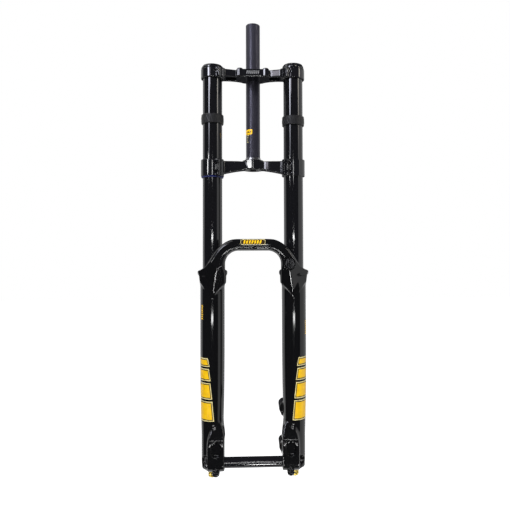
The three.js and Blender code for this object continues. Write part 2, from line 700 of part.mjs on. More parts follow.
function axlePinchBoss(side) {
  const { x, z, front, back, radius } = AXLE_PINCH;
  const backwards = vector(0, 1, 0);
  return aimed(rod(radius, 0, back - front, 20), backwards, vector(side * x, front, z));
}

function brakePost(z) {
  const { x, face, radius } = POST;
  const post = aimed(rod(radius, 0, face + 22, 20), vector(0, 1, 0), vector(x, -22, z));
  const web = plateXY(polygon([
    [x - radius + 1.5, face - 9], [x - radius + 4, -22], [x + 12, -22], [x + 16, -14],
  ]), z - 15, z + 15);
  return joined([post, web]);
}

function lowerCasting() {
  let casting = joined(LEGS.map(([, side]) => legOuter(side)));
  const plate = solid(plateXZ(archPlate(), -90, -20)).intersect(solid(plateYZ(archSide, -120, 120)));
  const arch = cut(plate, archOpening());
  casting = casting.add(arch);
  LEGS.forEach(([, side]) => {
    casting = casting.add(dropout(side)).add(solid(axlePinchBoss(side)));
  });
  const postHeights = [POST.upper, POST.upper - POST.spacing];
  postHeights.forEach((z) => {
    casting = casting.add(brakePost(z));
  });

  const forwards = vector(0, -1, 0);
  const cuts = [
    aimed(turned([
      [0, -120], [AXLE.head + GAP, -120], [AXLE.head + GAP, -DROPOUT.outer],
      [AXLE.outer + GAP, -DROPOUT.outer], [AXLE.outer + GAP, 120], [0, 120],
    ], SIDES), vector(1, 0, 0), vector(0, AXLE_Y, AXLE_Z)),
    plateXZ(oval(GUIDE.x, GUIDE.z, GUIDE.radius, GUIDE.halfStraight), -80, ARCH.front + GUIDE.depth),
    aimed(boltHole(GUIDE_BOLT, 4), forwards, vector(GUIDE.x, ARCH.front + 1.2, GUIDE.z - 5)),
  ];
  LEGS.forEach(([, side]) => {
    const slitEnds = [side * 50, side * 95].sort((a, b) => a - b);
    cuts.push(legBore(side));
    cuts.push(atLeg(rod(3.6, LEG.bottom - 10, LEG.floor + 10, BOLT_SIDES), side));
    cuts.push(block(...slitEnds, AXLE_Y - 1, AXLE_Y + 1, -620, AXLE_Z));
    cuts.push(plateXZ(oval(side * AXLE_PINCH.x, -557, 9.2, 4), -75, DROPOUT.front + 7));
    const seat = vector(side * AXLE_PINCH.x, AXLE_PINCH.front + 5, AXLE_PINCH.z);
    cuts.push(aimed(boltHole(AXLE_PINCH_BOLT), forwards, seat));
    [[0.02, 0.2], [0.24, 0.42], [0.46, 0.62]].forEach(([start, end]) => {
      cuts.push(plateXZ(archPocket(side, start, end), ARCH.back - 8, ARCH.back + 8));
    });
  });
  postHeights.forEach((z) => {
    const face = vector(POST.x, POST.face, z);
    cuts.push(aimed(rod(2.6, -16, 2, BOLT_SIDES), vector(0, 1, 0), face));
  });
  return geometryOf(cut(casting, cuts));
}

add(lowers, 'lower_casting', lowerCasting(), BLACK_PAINT);

LEGS.forEach(([legName, side]) => {
  const forwards = vector(0, -1, 0);
  const seat = vector(side * AXLE_PINCH.x, AXLE_PINCH.front + 5, AXLE_PINCH.z);
  add(lowers, `axle_pinch_bolt_${legName}`, aimed(bolt(AXLE_PINCH_BOLT), forwards, seat), STEEL);
});

// ---------------------------------------------------------------- hose guide

function hoseGuide() {
  const { x, z, radius, halfStraight, depth } = GUIDE;
  const back = ARCH.front + depth - GAP;
  const plate = plateXZ(oval(x, z, radius - 1.2, halfStraight), ARCH.front + 1.2, back);
  const bridge = block(x - 5, x + 3, ARCH.front - 1.5, ARCH.front + 2, z - 1, z + 7.5);
  const hoseMiddle = vector(x - 1, ARCH.front + 0.9, z + 3);
  const hosePath = aimed(rod(2.6, -20, 20, BOLT_SIDES), vector(0.35, 0, 1), hoseMiddle);
  const screwHole = aimed(rod(2.3, -5, 5, BOLT_SIDES), vector(0, 1, 0), vector(x, back, z - 5));
  return geometryOf(cut(joined([plate, bridge]), [hosePath, screwHole]));
}

add(lowers, 'hose_guide', hoseGuide(), PLASTIC);
add(lowers, 'hose_guide_screw', aimed(
  bolt(GUIDE_BOLT), vector(0, -1, 0), vector(GUIDE.x, ARCH.front + 0.9, GUIDE.z - 5)), SILVER);

// ---------------------------------------------------------------- wipers, foam and bushings

function wiper() {
  const inner = STANCHION.outer + GAP;
  const top = COLLAR.top + 1.4;
  return turned([
    [inner, COLLAR.top - 11.7], [24, COLLAR.top - 11.7], [24, COLLAR.top - 2], [23, COLLAR.top - 1],
    [20.6, top], [inner, top], [inner + 0.9, COLLAR.top - 3], [inner, COLLAR.top - 5],
    [inner, COLLAR.top - 11.7],
  ], SIDES);
}

function bushing(top, height) {
  return ring(STANCHION.outer + GAP, LEG.bore - GAP, top - height, top, SIDES);
}

LEGS.forEach(([legName, side]) => {
  const foam = ring(STANCHION.outer + GAP, 22, COLLAR.top - 17.7, COLLAR.top - 12.3, SIDES);
  add(lowers, `wiper_seal_${legName}`, atLeg(wiper(), side), RUBBER);
  add(lowers, `foam_ring_${legName}`, atLeg(foam, side), FOAM);
  add(lowers, `upper_bushing_${legName}`, atLeg(bushing(COLLAR.top - 20, 16), side), BRONZE);
  add(lowers, `lower_bushing_${legName}`, atLeg(bushing(STANCHION.bottom + 26, 18), side), BRONZE);
});

// ---------------------------------------------------------------- axle

function axle() {
  const { outer, inner, head, reach } = AXLE;
  const tube = turned([
    [inner, -reach], [head, -reach], [head, -DROPOUT.outer - GAP], [outer, -DROPOUT.outer - GAP],
    [outer, DROPOUT.outer + 1], [inner, DROPOUT.outer + 1], [inner, -reach],
  ], SIDES);
  return aimed(tube, vector(1, 0, 0), vector(0, AXLE_Y, AXLE_Z));
}

add(axleBody, 'axle', axle(), BLACK_ANODISE);

export default fork;
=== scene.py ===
"""The looks of a dual-crown suspension fork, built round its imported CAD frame.

Sizes are millimetres in the CAD's own axes, and meshes are written in metres. The castings
and crowns are distance fields, so that their parts run into each other through fillets. The
rest is turned about an axis. Graphics are thin films that follow their piece's surface.
"""
import json
import math

import bpy
import numpy as np
from mathutils import Matrix, Vector


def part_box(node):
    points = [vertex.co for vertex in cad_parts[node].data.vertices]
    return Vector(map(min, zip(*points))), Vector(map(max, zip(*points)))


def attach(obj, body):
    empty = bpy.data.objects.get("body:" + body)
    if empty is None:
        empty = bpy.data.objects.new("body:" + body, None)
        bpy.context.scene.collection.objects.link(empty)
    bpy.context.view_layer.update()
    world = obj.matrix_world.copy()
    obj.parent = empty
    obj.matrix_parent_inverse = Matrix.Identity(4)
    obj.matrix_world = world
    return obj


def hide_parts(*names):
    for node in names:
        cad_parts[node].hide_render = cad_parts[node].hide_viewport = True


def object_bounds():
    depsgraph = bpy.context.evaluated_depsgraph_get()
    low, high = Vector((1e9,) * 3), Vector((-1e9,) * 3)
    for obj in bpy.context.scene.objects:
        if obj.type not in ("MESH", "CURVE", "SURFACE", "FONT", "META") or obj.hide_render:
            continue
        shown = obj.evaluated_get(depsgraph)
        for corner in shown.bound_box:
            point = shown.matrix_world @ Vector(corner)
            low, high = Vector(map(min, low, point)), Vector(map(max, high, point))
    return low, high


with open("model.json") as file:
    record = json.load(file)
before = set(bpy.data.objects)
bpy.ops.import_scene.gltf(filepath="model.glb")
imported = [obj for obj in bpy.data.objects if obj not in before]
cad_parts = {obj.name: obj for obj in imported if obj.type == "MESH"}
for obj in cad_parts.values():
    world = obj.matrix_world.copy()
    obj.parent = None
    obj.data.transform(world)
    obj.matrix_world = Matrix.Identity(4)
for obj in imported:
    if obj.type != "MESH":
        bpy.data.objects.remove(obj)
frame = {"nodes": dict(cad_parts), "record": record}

CAD_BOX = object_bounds()
MM = 0.001


def box_mm(node):
    low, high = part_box(node)
    return np.array(low) / MM, np.array(high) / MM


# ---- sizes: some taken from the frame's boxes, the rest given

STANCHION_LOW, STANCHION_HIGH = box_mm("stanchion_right")
LEG_X, LEG_Y = (STANCHION_LOW[:2] + STANCHION_HIGH[:2]) / 2
STANCHION_R = (STANCHION_HIGH[0] - STANCHION_LOW[0]) / 2
STANCHION_TOP, STANCHION_BOTTOM = STANCHION_HIGH[2], STANCHION_LOW[2]

LOWER_LOW, LOWER_HIGH = box_mm("lower_crown")
UPPER_BOTTOM = box_mm("upper_crown")[0][2]
CLAMP_R = LOWER_HIGH[0] - LEG_X
STEERER_LOW, STEERER_HIGH = box_mm("steerer_tube")
STEERER_R = STEERER_HIGH[0]
RACE_LOW, RACE_HIGH = box_mm("crown_race")

AXLE_LOW, AXLE_HIGH = box_mm("axle")
AXLE_Y, AXLE_Z = (AXLE_LOW[1:] + AXLE_HIGH[1:]) / 2
AXLE_R = 10
AXLE_HEAD_R = 12

CASTING_LOW, CASTING_HIGH = box_mm("lower_casting")
ARCH_TOP = CASTING_HIGH[2]
ARCH_FRONT = -71.5
ARCH_BACK = -57
ARCH_BULGE = 3
ARCH_BULGE_WIDTH = 18
ARCH_BEVEL = 3.6
RIDGE_TOP = np.array([69.5, ARCH_FRONT, -219])
RIDGE_TIP = np.array([77.4, -54, -268])
COLLAR_TOP = ARCH_TOP - 63
LEG_BOTTOM = -601.5
LEG_FLOOR = LEG_BOTTOM + 30.5
LEG_BORE = 20.7
WHEEL_HALF = 53.4
WHEEL_RADIUS = 25.4
WHEEL_TOP = ARCH_TOP - 22.8
DROPOUT_HALF = 55
DROPOUT_OUTER = 87.5
PINCH_X = 70.7
PINCH_Z = -600
PINCH_SEAT = -61.3
POST_X = 59.5
POST_FACE = CASTING_HIGH[1]
POST_HEIGHTS = (-492, -566.2)
GUIDE = (70, -207)
GUIDE_SCREW_DROP = 5
GUIDE_DEPTH = 4
BORE_NARROWING = 1.2

LOWER_ANGLE = math.radians(48)
LOWER_EAR = dict(out=22.9, reach=4)
LOWER_BOLT_HEIGHTS = (-11.5, -28.5)
LOWER_BOLT_HOLE = dict(head=3.8, shank=2.5, length=12)
BOSS_R = 21.6
BOSS_FLOOR = -19.8
BOSS_FACET = math.radians(21.5)
STEERER_SEAT = -15.1
UPPER_ANGLE = math.radians(45)
UPPER_EAR = dict(out=23.4, reach=4.8)
UPPER_BOLT_HEIGHT = 168.2
UPPER_BOLT_HOLE = dict(head=4.6, shank=2.7, length=13)
UPPER_FRONT = -43.5
STEM_PAD_X = 25.4
STEM_PAD_ROWS = (-39.5, -14.1)
STEERER_BOLT = (22.5, 167.5)

RUNNING = 0.3
SIDES = (("left", -1), ("right", 1))


# ---- materials

def new_material(name):
    """A material with its Principled shader and the object's own coordinates."""
    material = bpy.data.materials.new(name)
    material.use_nodes = True
    nodes, links = material.node_tree.nodes, material.node_tree.links
    shader = nodes["Principled BSDF"]
    coords = nodes.new("ShaderNodeTexCoord")
    return material, nodes, links, shader, coords.outputs["Object"]


def noise(nodes, links, coords, scale, stretch=(1, 1, 1), detail=4.0):
    mapping = nodes.new("ShaderNodeMapping")
    mapping.inputs["Scale"].default_value = stretch
    links.new(coords, mapping.inputs["Vector"])
    texture = nodes.new("ShaderNodeTexNoise")
    texture.inputs["Scale"].default_value = scale
    texture.inputs["Detail"].default_value = detail
    texture.inputs["Roughness"].default_value = 0.55
    links.new(mapping.outputs["Vector"], texture.inputs["Vector"])
    return texture.outputs["Fac"]


def spread(nodes, links, source, low, high):
    """Turns a noise value into a range of numbers."""
    node = nodes.new("ShaderNodeMapRange")
    node.inputs["From Min"].default_value = 0.3
    node.inputs["From Max"].default_value = 0.7
    node.inputs["To Min"].default_value = low
    node.inputs["To Max"].default_value = high
    links.new(source, node.inputs["Value"])
    return node.outputs["Result"]


def two_colours(nodes, links, source, first, second):
    """A blend from one colour to the other across a noise value's middle."""
    ramp = nodes.new("ShaderNodeValToRGB")
    start, end = ramp.color_ramp.elements
    start.position, start.color = 0.35, (*first, 1)
    end.position, end.color = 0.65, (*second, 1)
    links.new(source, ramp.inputs["Fac"])
    return ramp.outputs["Color"]


def bump(nodes, links, shader, height, strength, distance):
    node = nodes.new("ShaderNodeBump")
    node.inputs["Strength"].default_value = strength
    node.inputs["Distance"].default_value = distance
    links.new(height, node.inputs["Height"])
    links.new(node.outputs["Normal"], shader.inputs["Normal"])


def finish(name, dark, light, rough, grain, relief, metallic=0.0, ior=1.5, coat=0.0,
           stretch=(1, 1, 1)):
    """A surface whose colour and relief follow a fine noise, and whose roughness a coarse one."""
    material, nodes, links, shader, coords = new_material(name)
    patches = noise(nodes, links, coords, 22, detail=3)
    fine = noise(nodes, links, coords, grain, stretch)
    links.new(two_colours(nodes, links, fine, dark, light), shader.inputs["Base Color"])
    links.new(spread(nodes, links, patches, *rough), shader.inputs["Roughness"])
    bump(nodes, links, shader, fine, relief, 0.0001)
    shader.inputs["Metallic"].default_value = metallic
    shader.inputs["IOR"].default_value = ior
    shader.inputs["Coat Weight"].default_value = coat
    shader.inputs["Coat Roughness"].default_value = 0.06
    return material


TURNED = (1, 1, 40)
DRAWN = (20, 20, 1)
HONED = (1, 1, 5)
PAINT = finish("gloss_black_paint", (0.0022, 0.0022, 0.0026), (0.004, 0.004, 0.0045),
               (0.05, 0.09), 420, 0.008, coat=0.2)
ANODISE = finish("gloss_black_anodise", (0.003, 0.003, 0.004), (0.007, 0.007, 0.009),
                 (0.07, 0.13), 260, 0.01, ior=1.7, stretch=DRAWN)
STANCHION_COAT = finish("hard_black_stanchion", (0.0025, 0.0025, 0.003),
                        (0.0055, 0.0055, 0.007), (0.05, 0.08), 300, 0.003, ior=1.65,
                        stretch=HONED)
SATIN = finish("satin_steerer", (0.034, 0.033, 0.045), (0.06, 0.058, 0.078), (0.34, 0.44), 240,
               0.1, metallic=0.6, stretch=TURNED)
SILVER = finish("turned_aluminium", (0.3, 0.3, 0.31), (0.46, 0.46, 0.47), (0.25, 0.38), 300,
                0.15, metallic=1.0, stretch=TURNED)
STEEL = finish("plated_steel", (0.33, 0.34, 0.35), (0.55, 0.56, 0.58), (0.2, 0.34), 500,
               0.12, metallic=1.0)
BLACK_BOLT = finish("black_oxide_steel", (0.006, 0.006, 0.007), (0.015, 0.015, 0.017),
                    (0.25, 0.4), 500, 0.15, metallic=0.4)
RUBBER = finish("moulded_rubber", (0.004, 0.004, 0.0045), (0.013, 0.013, 0.014),
                (0.4, 0.56), 900, 0.35)
BLUE_RUBBER = finish("dark_blue_rubber", (0.006, 0.01, 0.07), (0.012, 0.02, 0.12),
                     (0.4, 0.55), 700, 0.25)
GOLD = finish("gold_anodise", (0.62, 0.45, 0.07), (0.82, 0.62, 0.13), (0.3, 0.42), 380, 0.12,
              metallic=0.6, stretch=TURNED)
BLUE = finish("blue_anodise", (0.01, 0.1, 0.42), (0.02, 0.2, 0.7), (0.25, 0.38), 380, 0.12,
              metallic=0.5, stretch=TURNED)
BRONZE = finish("bearing_bronze", (0.32, 0.19, 0.07), (0.5, 0.32, 0.13), (0.35, 0.5), 900,
                0.3, metallic=0.9)
FOAM = finish("oil_foam", (0.05, 0.05, 0.055), (0.16, 0.16, 0.17), (0.85, 0.95), 1400, 0.8)
PLASTIC = finish("moulded_plastic", (0.008, 0.008, 0.009), (0.018, 0.018, 0.02), (0.3, 0.45),
                 600, 0.25)
YELLOW = finish("yellow_film", (0.8, 0.46, 0.004), (0.9, 0.54, 0.008), (0.25, 0.35), 120, 0.03)
CREAM = finish("cream_film", (0.66, 0.56, 0.24), (0.8, 0.69, 0.32), (0.25, 0.35), 120, 0.03)
DARK_FILM = finish("dark_film", (0.02, 0.012, 0.004), (0.035, 0.02, 0.007), (0.25, 0.35), 120,
                   0.03)
ETCHED = finish("etched_grey", (0.13, 0.13, 0.135), (0.26, 0.26, 0.27), (0.4, 0.55), 1500,
                0.3, metallic=0.3)
SLOT_FINISH = {
    "satin_grey": SATIN, "black_anodise": ANODISE, "black_paint": PAINT, "silver": SILVER,
    "steel": STEEL, "rubber": RUBBER, "blue_rubber": BLUE_RUBBER, "blue_anodise": BLUE,
    "gold_anodise": GOLD, "bronze": BRONZE, "foam": FOAM, "plastic": PLASTIC}

for part in frame["record"]["subparts"]:
    node_mesh = frame["nodes"][part["node"]].data
    node_mesh.materials.clear()
    node_mesh.materials.append(SLOT_FINISH[part["material_slot"]])
    node_mesh.set_sharp_from_angle(angle=math.radians(35))


# ---- meshes

def in_scene(name, data):
    thing = bpy.data.objects.new(name, data)
    bpy.context.scene.collection.objects.link(thing)
    return thing


def add_piece(name, mesh, body, materials, replaced=()):
    for material in materials:
        mesh.materials.append(material)
    piece = in_scene(name, mesh)
    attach(piece, body)
    if replaced:
        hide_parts(*replaced)


def mesh_of(name, points, faces, smooth_angle=None):
    """A smooth mesh from points in millimetres. Edges sharper than a given angle stay sharp."""
    mesh = bpy.data.meshes.new(name)
    mesh.from_pydata((np.asarray(points) * MM).tolist(), [], faces)
    mesh.update()
    mesh.shade_smooth()
    if smooth_angle is not None:
        mesh.set_sharp_from_angle(angle=math.radians(smooth_angle))
    return mesh


def rounded(profile, radius):
    """Replaces each inner corner of a [radius, height] profile by a small arc."""
    points = [np.array(p, float) for p in profile]
    done = [points[0]]
    for before, corner, after in zip(points, points[1:], points[2:]):
        back, on = before - corner, after - corner
        reach = min(radius, 0.45 * np.linalg.norm(back), 0.45 * np.linalg.norm(on))
        start = corner + back / np.linalg.norm(back) * reach
        end = corner + on / np.linalg.norm(on) * reach
        for t in np.linspace(0, 1, 4):
            done.append((1 - t) ** 2 * start + 2 * t * (1 - t) * corner + t * t * end)
    done.append(points[-1])
    return held_straight(done)


def held_straight(outline, margin=0.5, longest=4):
    """Adds a point near each end of every long stretch, so that it shades as straight."""
    done = [outline[0]]
    for start, end in zip(outline, outline[1:]):
        length = np.linalg.norm(end - start)
        if length > longest:
            inwards = (end - start) * margin / length
            done += [start + inwards, end - inwards]
        done.append(end)
    return np.array(done)


def aim(direction):
    """The rotation that turns +Z to a direction."""
    return np.array(Vector((0, 0, 1)).rotation_difference(Vector(direction)).to_matrix())


def turned_mesh(name, profile, centre, sides, direction=(0, 0, 1), radius=0.4, swell=None):
    """A profile of [radius, height] pairs turned about an axis through a point.

    A profile that starts and ends on the axis is capped there; any other is closed on
    itself. swell(angle, height) adds to the radius, for flutes and raised patterns.
    """
    capped = abs(profile[0][0]) < 1e-6 and abs(profile[-1][0]) < 1e-6
    shape = list(profile) if capped else list(profile) + [profile[0]]
    outline = rounded(shape, radius)
    ring = outline[1:-1] if capped else outline[:-1]
    angles = np.arange(sides) * 2 * math.pi / sides
    radii = np.repeat(ring[:, :1], sides, axis=1)
    heights = np.repeat(ring[:, 1:], sides, axis=1)
    if swell is not None:
        radii = radii + swell(angles[None, :], radii, heights)
    points = np.stack([radii * np.cos(angles), radii * np.sin(angles), heights], axis=-1)
    points = points.reshape(-1, 3)
    faces = []
    count = len(ring)
    for i in range(count - 1 if capped else count):
        low, high = i * sides, (i + 1) % count * sides
        for j in range(sides):
            k = (j + 1) % sides
            faces.append((low + j, low + k, high + k, high + j))
    if capped:
        foot, head = len(points), len(points) + 1
        points = np.vstack([points, [[0, 0, outline[0][1]], [0, 0, outline[-1][1]]]])
        last = (count - 1) * sides
        for j in range(sides):
            k = (j + 1) % sides
            faces.append((foot, k, j))
            faces.append((head, last + j, last + k))
    points = points @ aim(direction).T + np.array(centre, float)
    return mesh_of(name, points, faces, smooth_angle=38)


def turned(name, profile, centre, body, material_slot, replaced, material=None, **options):
    """A turned piece, in its slot's finish unless another is given."""
    mesh = turned_mesh(name, profile, centre, **options)
    add_piece(name, mesh, body, [material or SLOT_FINISH[material_slot]], replaced)


# ---- distance fields

def smooth_min(a, b, k):
    h = np.clip(0.5 + 0.5 * (b - a) / k, 0, 1)
    return b + (a - b) * h - k * h * (1 - h)


def smooth_max(a, b, k):
    return -smooth_min(-a, -b, k)


def between(value, low, high):
    """Distance to a slab: negative from low to high."""
    return np.abs(value - (low + high) / 2) - (high - low) / 2


def post(u, v, w, centre, radius, low, high, edge=0.8):
    """A round bar along w, with softened rims."""
    across = np.hypot(u - centre[0], v - centre[1]) - radius
    return smooth_max(across, between(w, low, high), edge)


def polygon(points):
    """The distance to a closed outline in a plane, negative inside."""
    corners = np.array(points, float)

    def distance(u, v):
        u, v = np.broadcast_arrays(u, v)
        nearest = np.full(u.shape, np.inf)
        inside = np.zeros(u.shape, bool)
        for (au, av), (bu, bv) in zip(corners, np.roll(corners, -1, axis=0)):
            eu, ev = bu - au, bv - av
            t = np.clip(((u - au) * eu + (v - av) * ev) / (eu * eu + ev * ev), 0, 1)
            nearest = np.minimum(nearest, (u - au - t * eu) ** 2 + (v - av - t * ev) ** 2)
            if ev:
                inside ^= ((av > v) != (bv > v)) & (u < eu * (v - av) / ev + au)
        return np.where(inside, -1, 1) * np.sqrt(nearest)

    return distance


def curve(start, control, end, steps=6):
    """Points on a quadratic curve, without its first point."""
    start, control, end = (np.array(p, float) for p in (start, control, end))
    return [tuple((1 - t) ** 2 * start + 2 * t * (1 - t) * control + t * t * end)
            for t in np.linspace(0, 1, steps + 1)[1:]]


def cubic(start, first, second, end, steps=12):
    """Points on a cubic curve, without its first point."""
    start, first, second, end = (np.array(p, float) for p in (start, first, second, end))
    return [tuple((1 - t) ** 3 * start + 3 * t * (1 - t) ** 2 * first
                  + 3 * t * t * (1 - t) * second + t ** 3 * end)
            for t in np.linspace(0, 1, steps + 1)[1:]]


def cells_of(distance, xs, ys, zs):
    """The grid cells that a surface passes through, a point in each, and their faces."""
    shape = (len(xs), len(ys), len(zs))
    field = distance(xs[:, None, None], ys[None, :, None], zs[None, None, :])
    field = np.broadcast_to(field, shape).astype(np.float32)
    inside = field < 0
    corners = [(i, j, k) for i in (0, 1) for j in (0, 1) for k in (0, 1)]

    def part(array, corner):
        return array[tuple(slice(c, n - 1 + c) for c, n in zip(corner, shape))]

    count = sum(part(inside, c).astype(np.int8) for c in corners)
    mixed = np.nonzero((count > 0) & (count < 8))
    ids = np.full([n - 1 for n in shape], -1, np.int64)
    ids[mixed] = np.arange(len(mixed[0]))
    total = np.zeros((len(mixed[0]), 3))
    hits = np.zeros(len(mixed[0]))
    axes = (xs, ys, zs)
    for a in corners:
        for axis in range(3):
            if a[axis]:
                continue
            b = tuple(c + (i == axis) for i, c in enumerate(a))
            da, db = part(field, a)[mixed], part(field, b)[mixed]
            crossed = (da < 0) != (db < 0)
            t = np.where(crossed, da / np.where(crossed, da - db, 1), 0)
            for i in range(3):
                here = axes[i][mixed[i] + a[i]]
                there = axes[i][mixed[i] + b[i]]
                total[:, i] += np.where(crossed, here + (there - here) * t, 0)
            hits += crossed
    faces = []
    for axis in range(3):
        order = (axis, (axis + 1) % 3, (axis + 2) % 3)
        solid = np.transpose(inside, order)
        cell = np.transpose(ids, order)
        low, high = solid[:-1, 1:-1, 1:-1], solid[1:, 1:-1, 1:-1]
        i, j, k = np.nonzero(low != high)
        quads = np.stack([cell[i, j, k], cell[i, j + 1, k], cell[i, j + 1, k + 1],
                          cell[i, j, k + 1]], axis=1)
        backwards = high[i, j, k]
        quads[backwards] = quads[backwards][:, ::-1]
        faces.append(quads)
    return total / hits[:, None], np.vstack(faces)


def slope(distance, points, step=0.08):
    """The field's gradient at each point."""
    gradient = np.empty_like(points)
    for axis in range(3):
        offset = np.zeros(3)
        offset[axis] = step
        ahead = distance(*(points + offset).T)
        behind = distance(*(points - offset).T)
        gradient[:, axis] = (ahead - behind) / (2 * step)
    return gradient


def field_mesh(name, distance, xs, ys, zs):
    """The surface where a field is zero, with each point brought onto it, inside the CAD's box."""
    points, faces = cells_of(distance, xs, ys, zs)
    reach = 0.5 * (xs[1] - xs[0])
    for _ in range(3):
        gradient = slope(distance, points)
        size = np.maximum((gradient ** 2).sum(axis=1), 1e-3)
        move = gradient * (distance(*points.T) / size)[:, None]
        length = np.linalg.norm(move, axis=1)
        points -= move * np.minimum(1, reach / np.maximum(length, 1e-9))[:, None]
    normals = slope(distance, points, 0.3)
    normals /= np.maximum(np.linalg.norm(normals, axis=1), 1e-9)[:, None]
    low, high = np.array(CAD_BOX) / MM
    mesh = mesh_of(name, np.clip(points, low, high), faces.tolist())
    mesh.normals_split_custom_set_from_vertices(normals.tolist())
    return mesh


def steps(low, high, size):
    """Evenly spaced numbers, about a size apart."""
    return np.linspace(low, high, max(2, int(round((high - low) / size)) + 1))


# ---- the lower casting

def leg_radius(z):
    """The outside of a leg: a slim shaft that flares into the collar and tapers at the foot."""
    heights = [-620, LEG_BOTTOM + 8, -580, -540, -440, -378, -252, -243, -234, COLLAR_TOP]
    radii = [20.4, 20.9, 21.3, 21.3, 23.2, 23.6, 23.6, 24.6, 25.8, 26.2]
    return np.interp(z, heights, radii)


def arch_outline():
    """Half of the arch from the front, from its middle to the tip of the skirt."""
    top = ARCH_TOP
    return [(-20, top), (28, top),
            *cubic((28, top), (51, top), (66, top - 14), (77.5, top - 32)),
            (87.4, top - 48.7), *curve((87.4, top - 48.7), (91, top - 54.5), (97, top - 57)),
            (106, top - 62.3), (104, top - 71.5), (102.5, top - 83.5), (95, top - 93),
            (RIDGE_TIP[0] + 0.6, RIDGE_TIP[2] - 2), (56, top - 87), (-20, top - 87)]


ARCH_EDGE = polygon(arch_outline())
ARCH_SIDE = polygon([
    (ARCH_BACK, ARCH_TOP), (ARCH_FRONT - 4, ARCH_TOP), (ARCH_FRONT - 4, ARCH_TOP - 113),
    (LEG_Y, ARCH_TOP - 113), (LEG_Y, COLLAR_TOP + 2.5), (ARCH_BACK, COLLAR_TOP + 2.5)])
ARCH_RIBS = (22, 45, 66)
DROPOUT_SIDE = polygon([
    (LEG_Y, LEG_BOTTOM + 1), (AXLE_Y + 11, LEG_BOTTOM + 1),
    *[(AXLE_Y + 15.6 * math.cos(a), AXLE_Z + 15.6 * math.sin(a))
      for a in np.linspace(-0.8, -math.pi, 12)],
    (-66, -562), *curve((-66, -562), (-66, -545), (-58, -530)),
    *curve((-58, -530), (-52, -520), (-48, -512)), (LEG_Y, -512)])
DROPOUT_FACE = polygon([
    (DROPOUT_HALF, -620), (DROPOUT_OUTER, -620), (DROPOUT_OUTER, -560),
    *curve((DROPOUT_OUTER, -560), (DROPOUT_OUTER, -538), (82, -526)), (76, -512), (62, -512),
    *curve((62, -512), (DROPOUT_HALF, -526), (DROPOUT_HALF, -545))])


def wheel_opening(x, y, z):
    """The rounded gap for the tyre, wider at the arch's front edge."""
    across = np.abs(x) - (WHEEL_HALF - WHEEL_RADIUS)
    above = z - (WHEEL_TOP - WHEEL_RADIUS)
    rounded_corner = np.hypot(np.maximum(across, 0), np.maximum(above, 0))
    flare = 3.6 * np.clip((ARCH_FRONT + 7 - y) / 7, 0, 1)
    return rounded_corner + np.minimum(np.maximum(across, above), 0) - WHEEL_RADIUS - flare


def bulge(inset):
    """How far the arch's front face lies back, by the distance in from its outer edge."""
    return ARCH_BULGE * np.clip(1 - inset / ARCH_BULGE_WIDTH, 0, 1) ** 2


def cape_facets(x, y, z):
    """The two planes that meet in a ridge down the front of each leg's shoulder."""
    share = (RIDGE_TOP[2] - z) / (RIDGE_TOP[2] - RIDGE_TIP[2])
    ridge_x, ridge_y = (RIDGE_TOP[i] + (RIDGE_TIP[i] - RIDGE_TOP[i]) * share for i in (0, 1))
    outwards = np.abs(x) - ridge_x
    outer = (ridge_y + 0.53 * outwards - y) * 0.88
    inner = (ridge_y - 0.25 * outwards - y) * 0.91
    return smooth_max(outer, inner, 0.8)


def arch(x, y, z):
    edge = ARCH_EDGE(np.abs(x), z)
    deeper = 14 * np.clip((np.abs(x) - 86) / 8, 0, 1) * np.clip((ARCH_TOP - 46 - z) / 12, 0, 1)
    body = smooth_max(edge, ARCH_SIDE(y - deeper, z), 2.2)
    front = ARCH_FRONT + bulge(-edge) - y
    body = smooth_max(body, front, 2.2)
    body = smooth_max(body, (edge + front + ARCH_BEVEL) * 0.707, 1.6)
    body = smooth_max(body, cape_facets(x, y, z), 1.0)
    body = smooth_max(body, -wheel_opening(x, y, z), 2.6)
    ribs = np.minimum.reduce([np.abs(np.abs(x) - rib) for rib in ARCH_RIBS])
    pocket = np.maximum(np.abs(edge + 9.1) - 4.9, np.maximum(np.abs(x) - 72, -215 - z))
    pocket = smooth_max(pocket, 1.5 - ribs, 1.5)
    pocket = smooth_max(pocket, np.abs(y - ARCH_BACK) - 8, 1.5)
    return smooth_max(body, -pocket, 1.2)


def dropout(x, y, z):
    side = smooth_max(DROPOUT_SIDE(y, z), DROPOUT_FACE(np.abs(x), z), 3)
    boss = post(np.abs(x), z, y, (PINCH_X, PINCH_Z), 7.1, -66, -42.5, 1.2)
    hollow = np.hypot(np.abs(x) - PINCH_X, np.maximum(np.abs(z + 557) - 4, 0)) - 9.2
    hollow = smooth_max(hollow, y + 59, 2)
    return smooth_max(smooth_min(side, boss, 1.5), -hollow, 1.5)


def brake_post(x, y, z, height):
    tab = post(x, z, y, (POST_X, height), 9.5, LEG_Y, POST_FACE, 0.8)
    web = np.maximum(between(z, height - 14, height + 12), between(y, LEG_Y, POST_FACE - 9))
    web = smooth_max(web, between(x, POST_X - 6, POST_X + 14), 4)
    hole = np.maximum(np.hypot(x - POST_X, z - height) - 2.6, POST_FACE - 16 - y)
    return smooth_max(smooth_min(tab, web, 4), -hole, 0.4)


def bore(x, y, z):
    """The inside of a leg: bushing bore, foam seat and the wiper's seat at the mouth.

    The foot's wall is too thin for the mesh's grid, so the bore is narrower there.
    """
    across = np.hypot(np.abs(x) - LEG_X, y - LEG_Y)
    radius = np.interp(z, [-430, -400], [LEG_BORE - BORE_NARROWING, LEG_BORE])
    tube = np.maximum(across - radius, LEG_FLOOR - z)
    foam = np.maximum(across - 22.3, COLLAR_TOP - 18 - z)
    seat = np.maximum(across - 24.3, COLLAR_TOP - 12 - z)
    foot = np.maximum(across - 3.6, z - LEG_FLOOR - 5)
    return np.minimum(np.minimum(tube, foam), np.minimum(seat, foot))


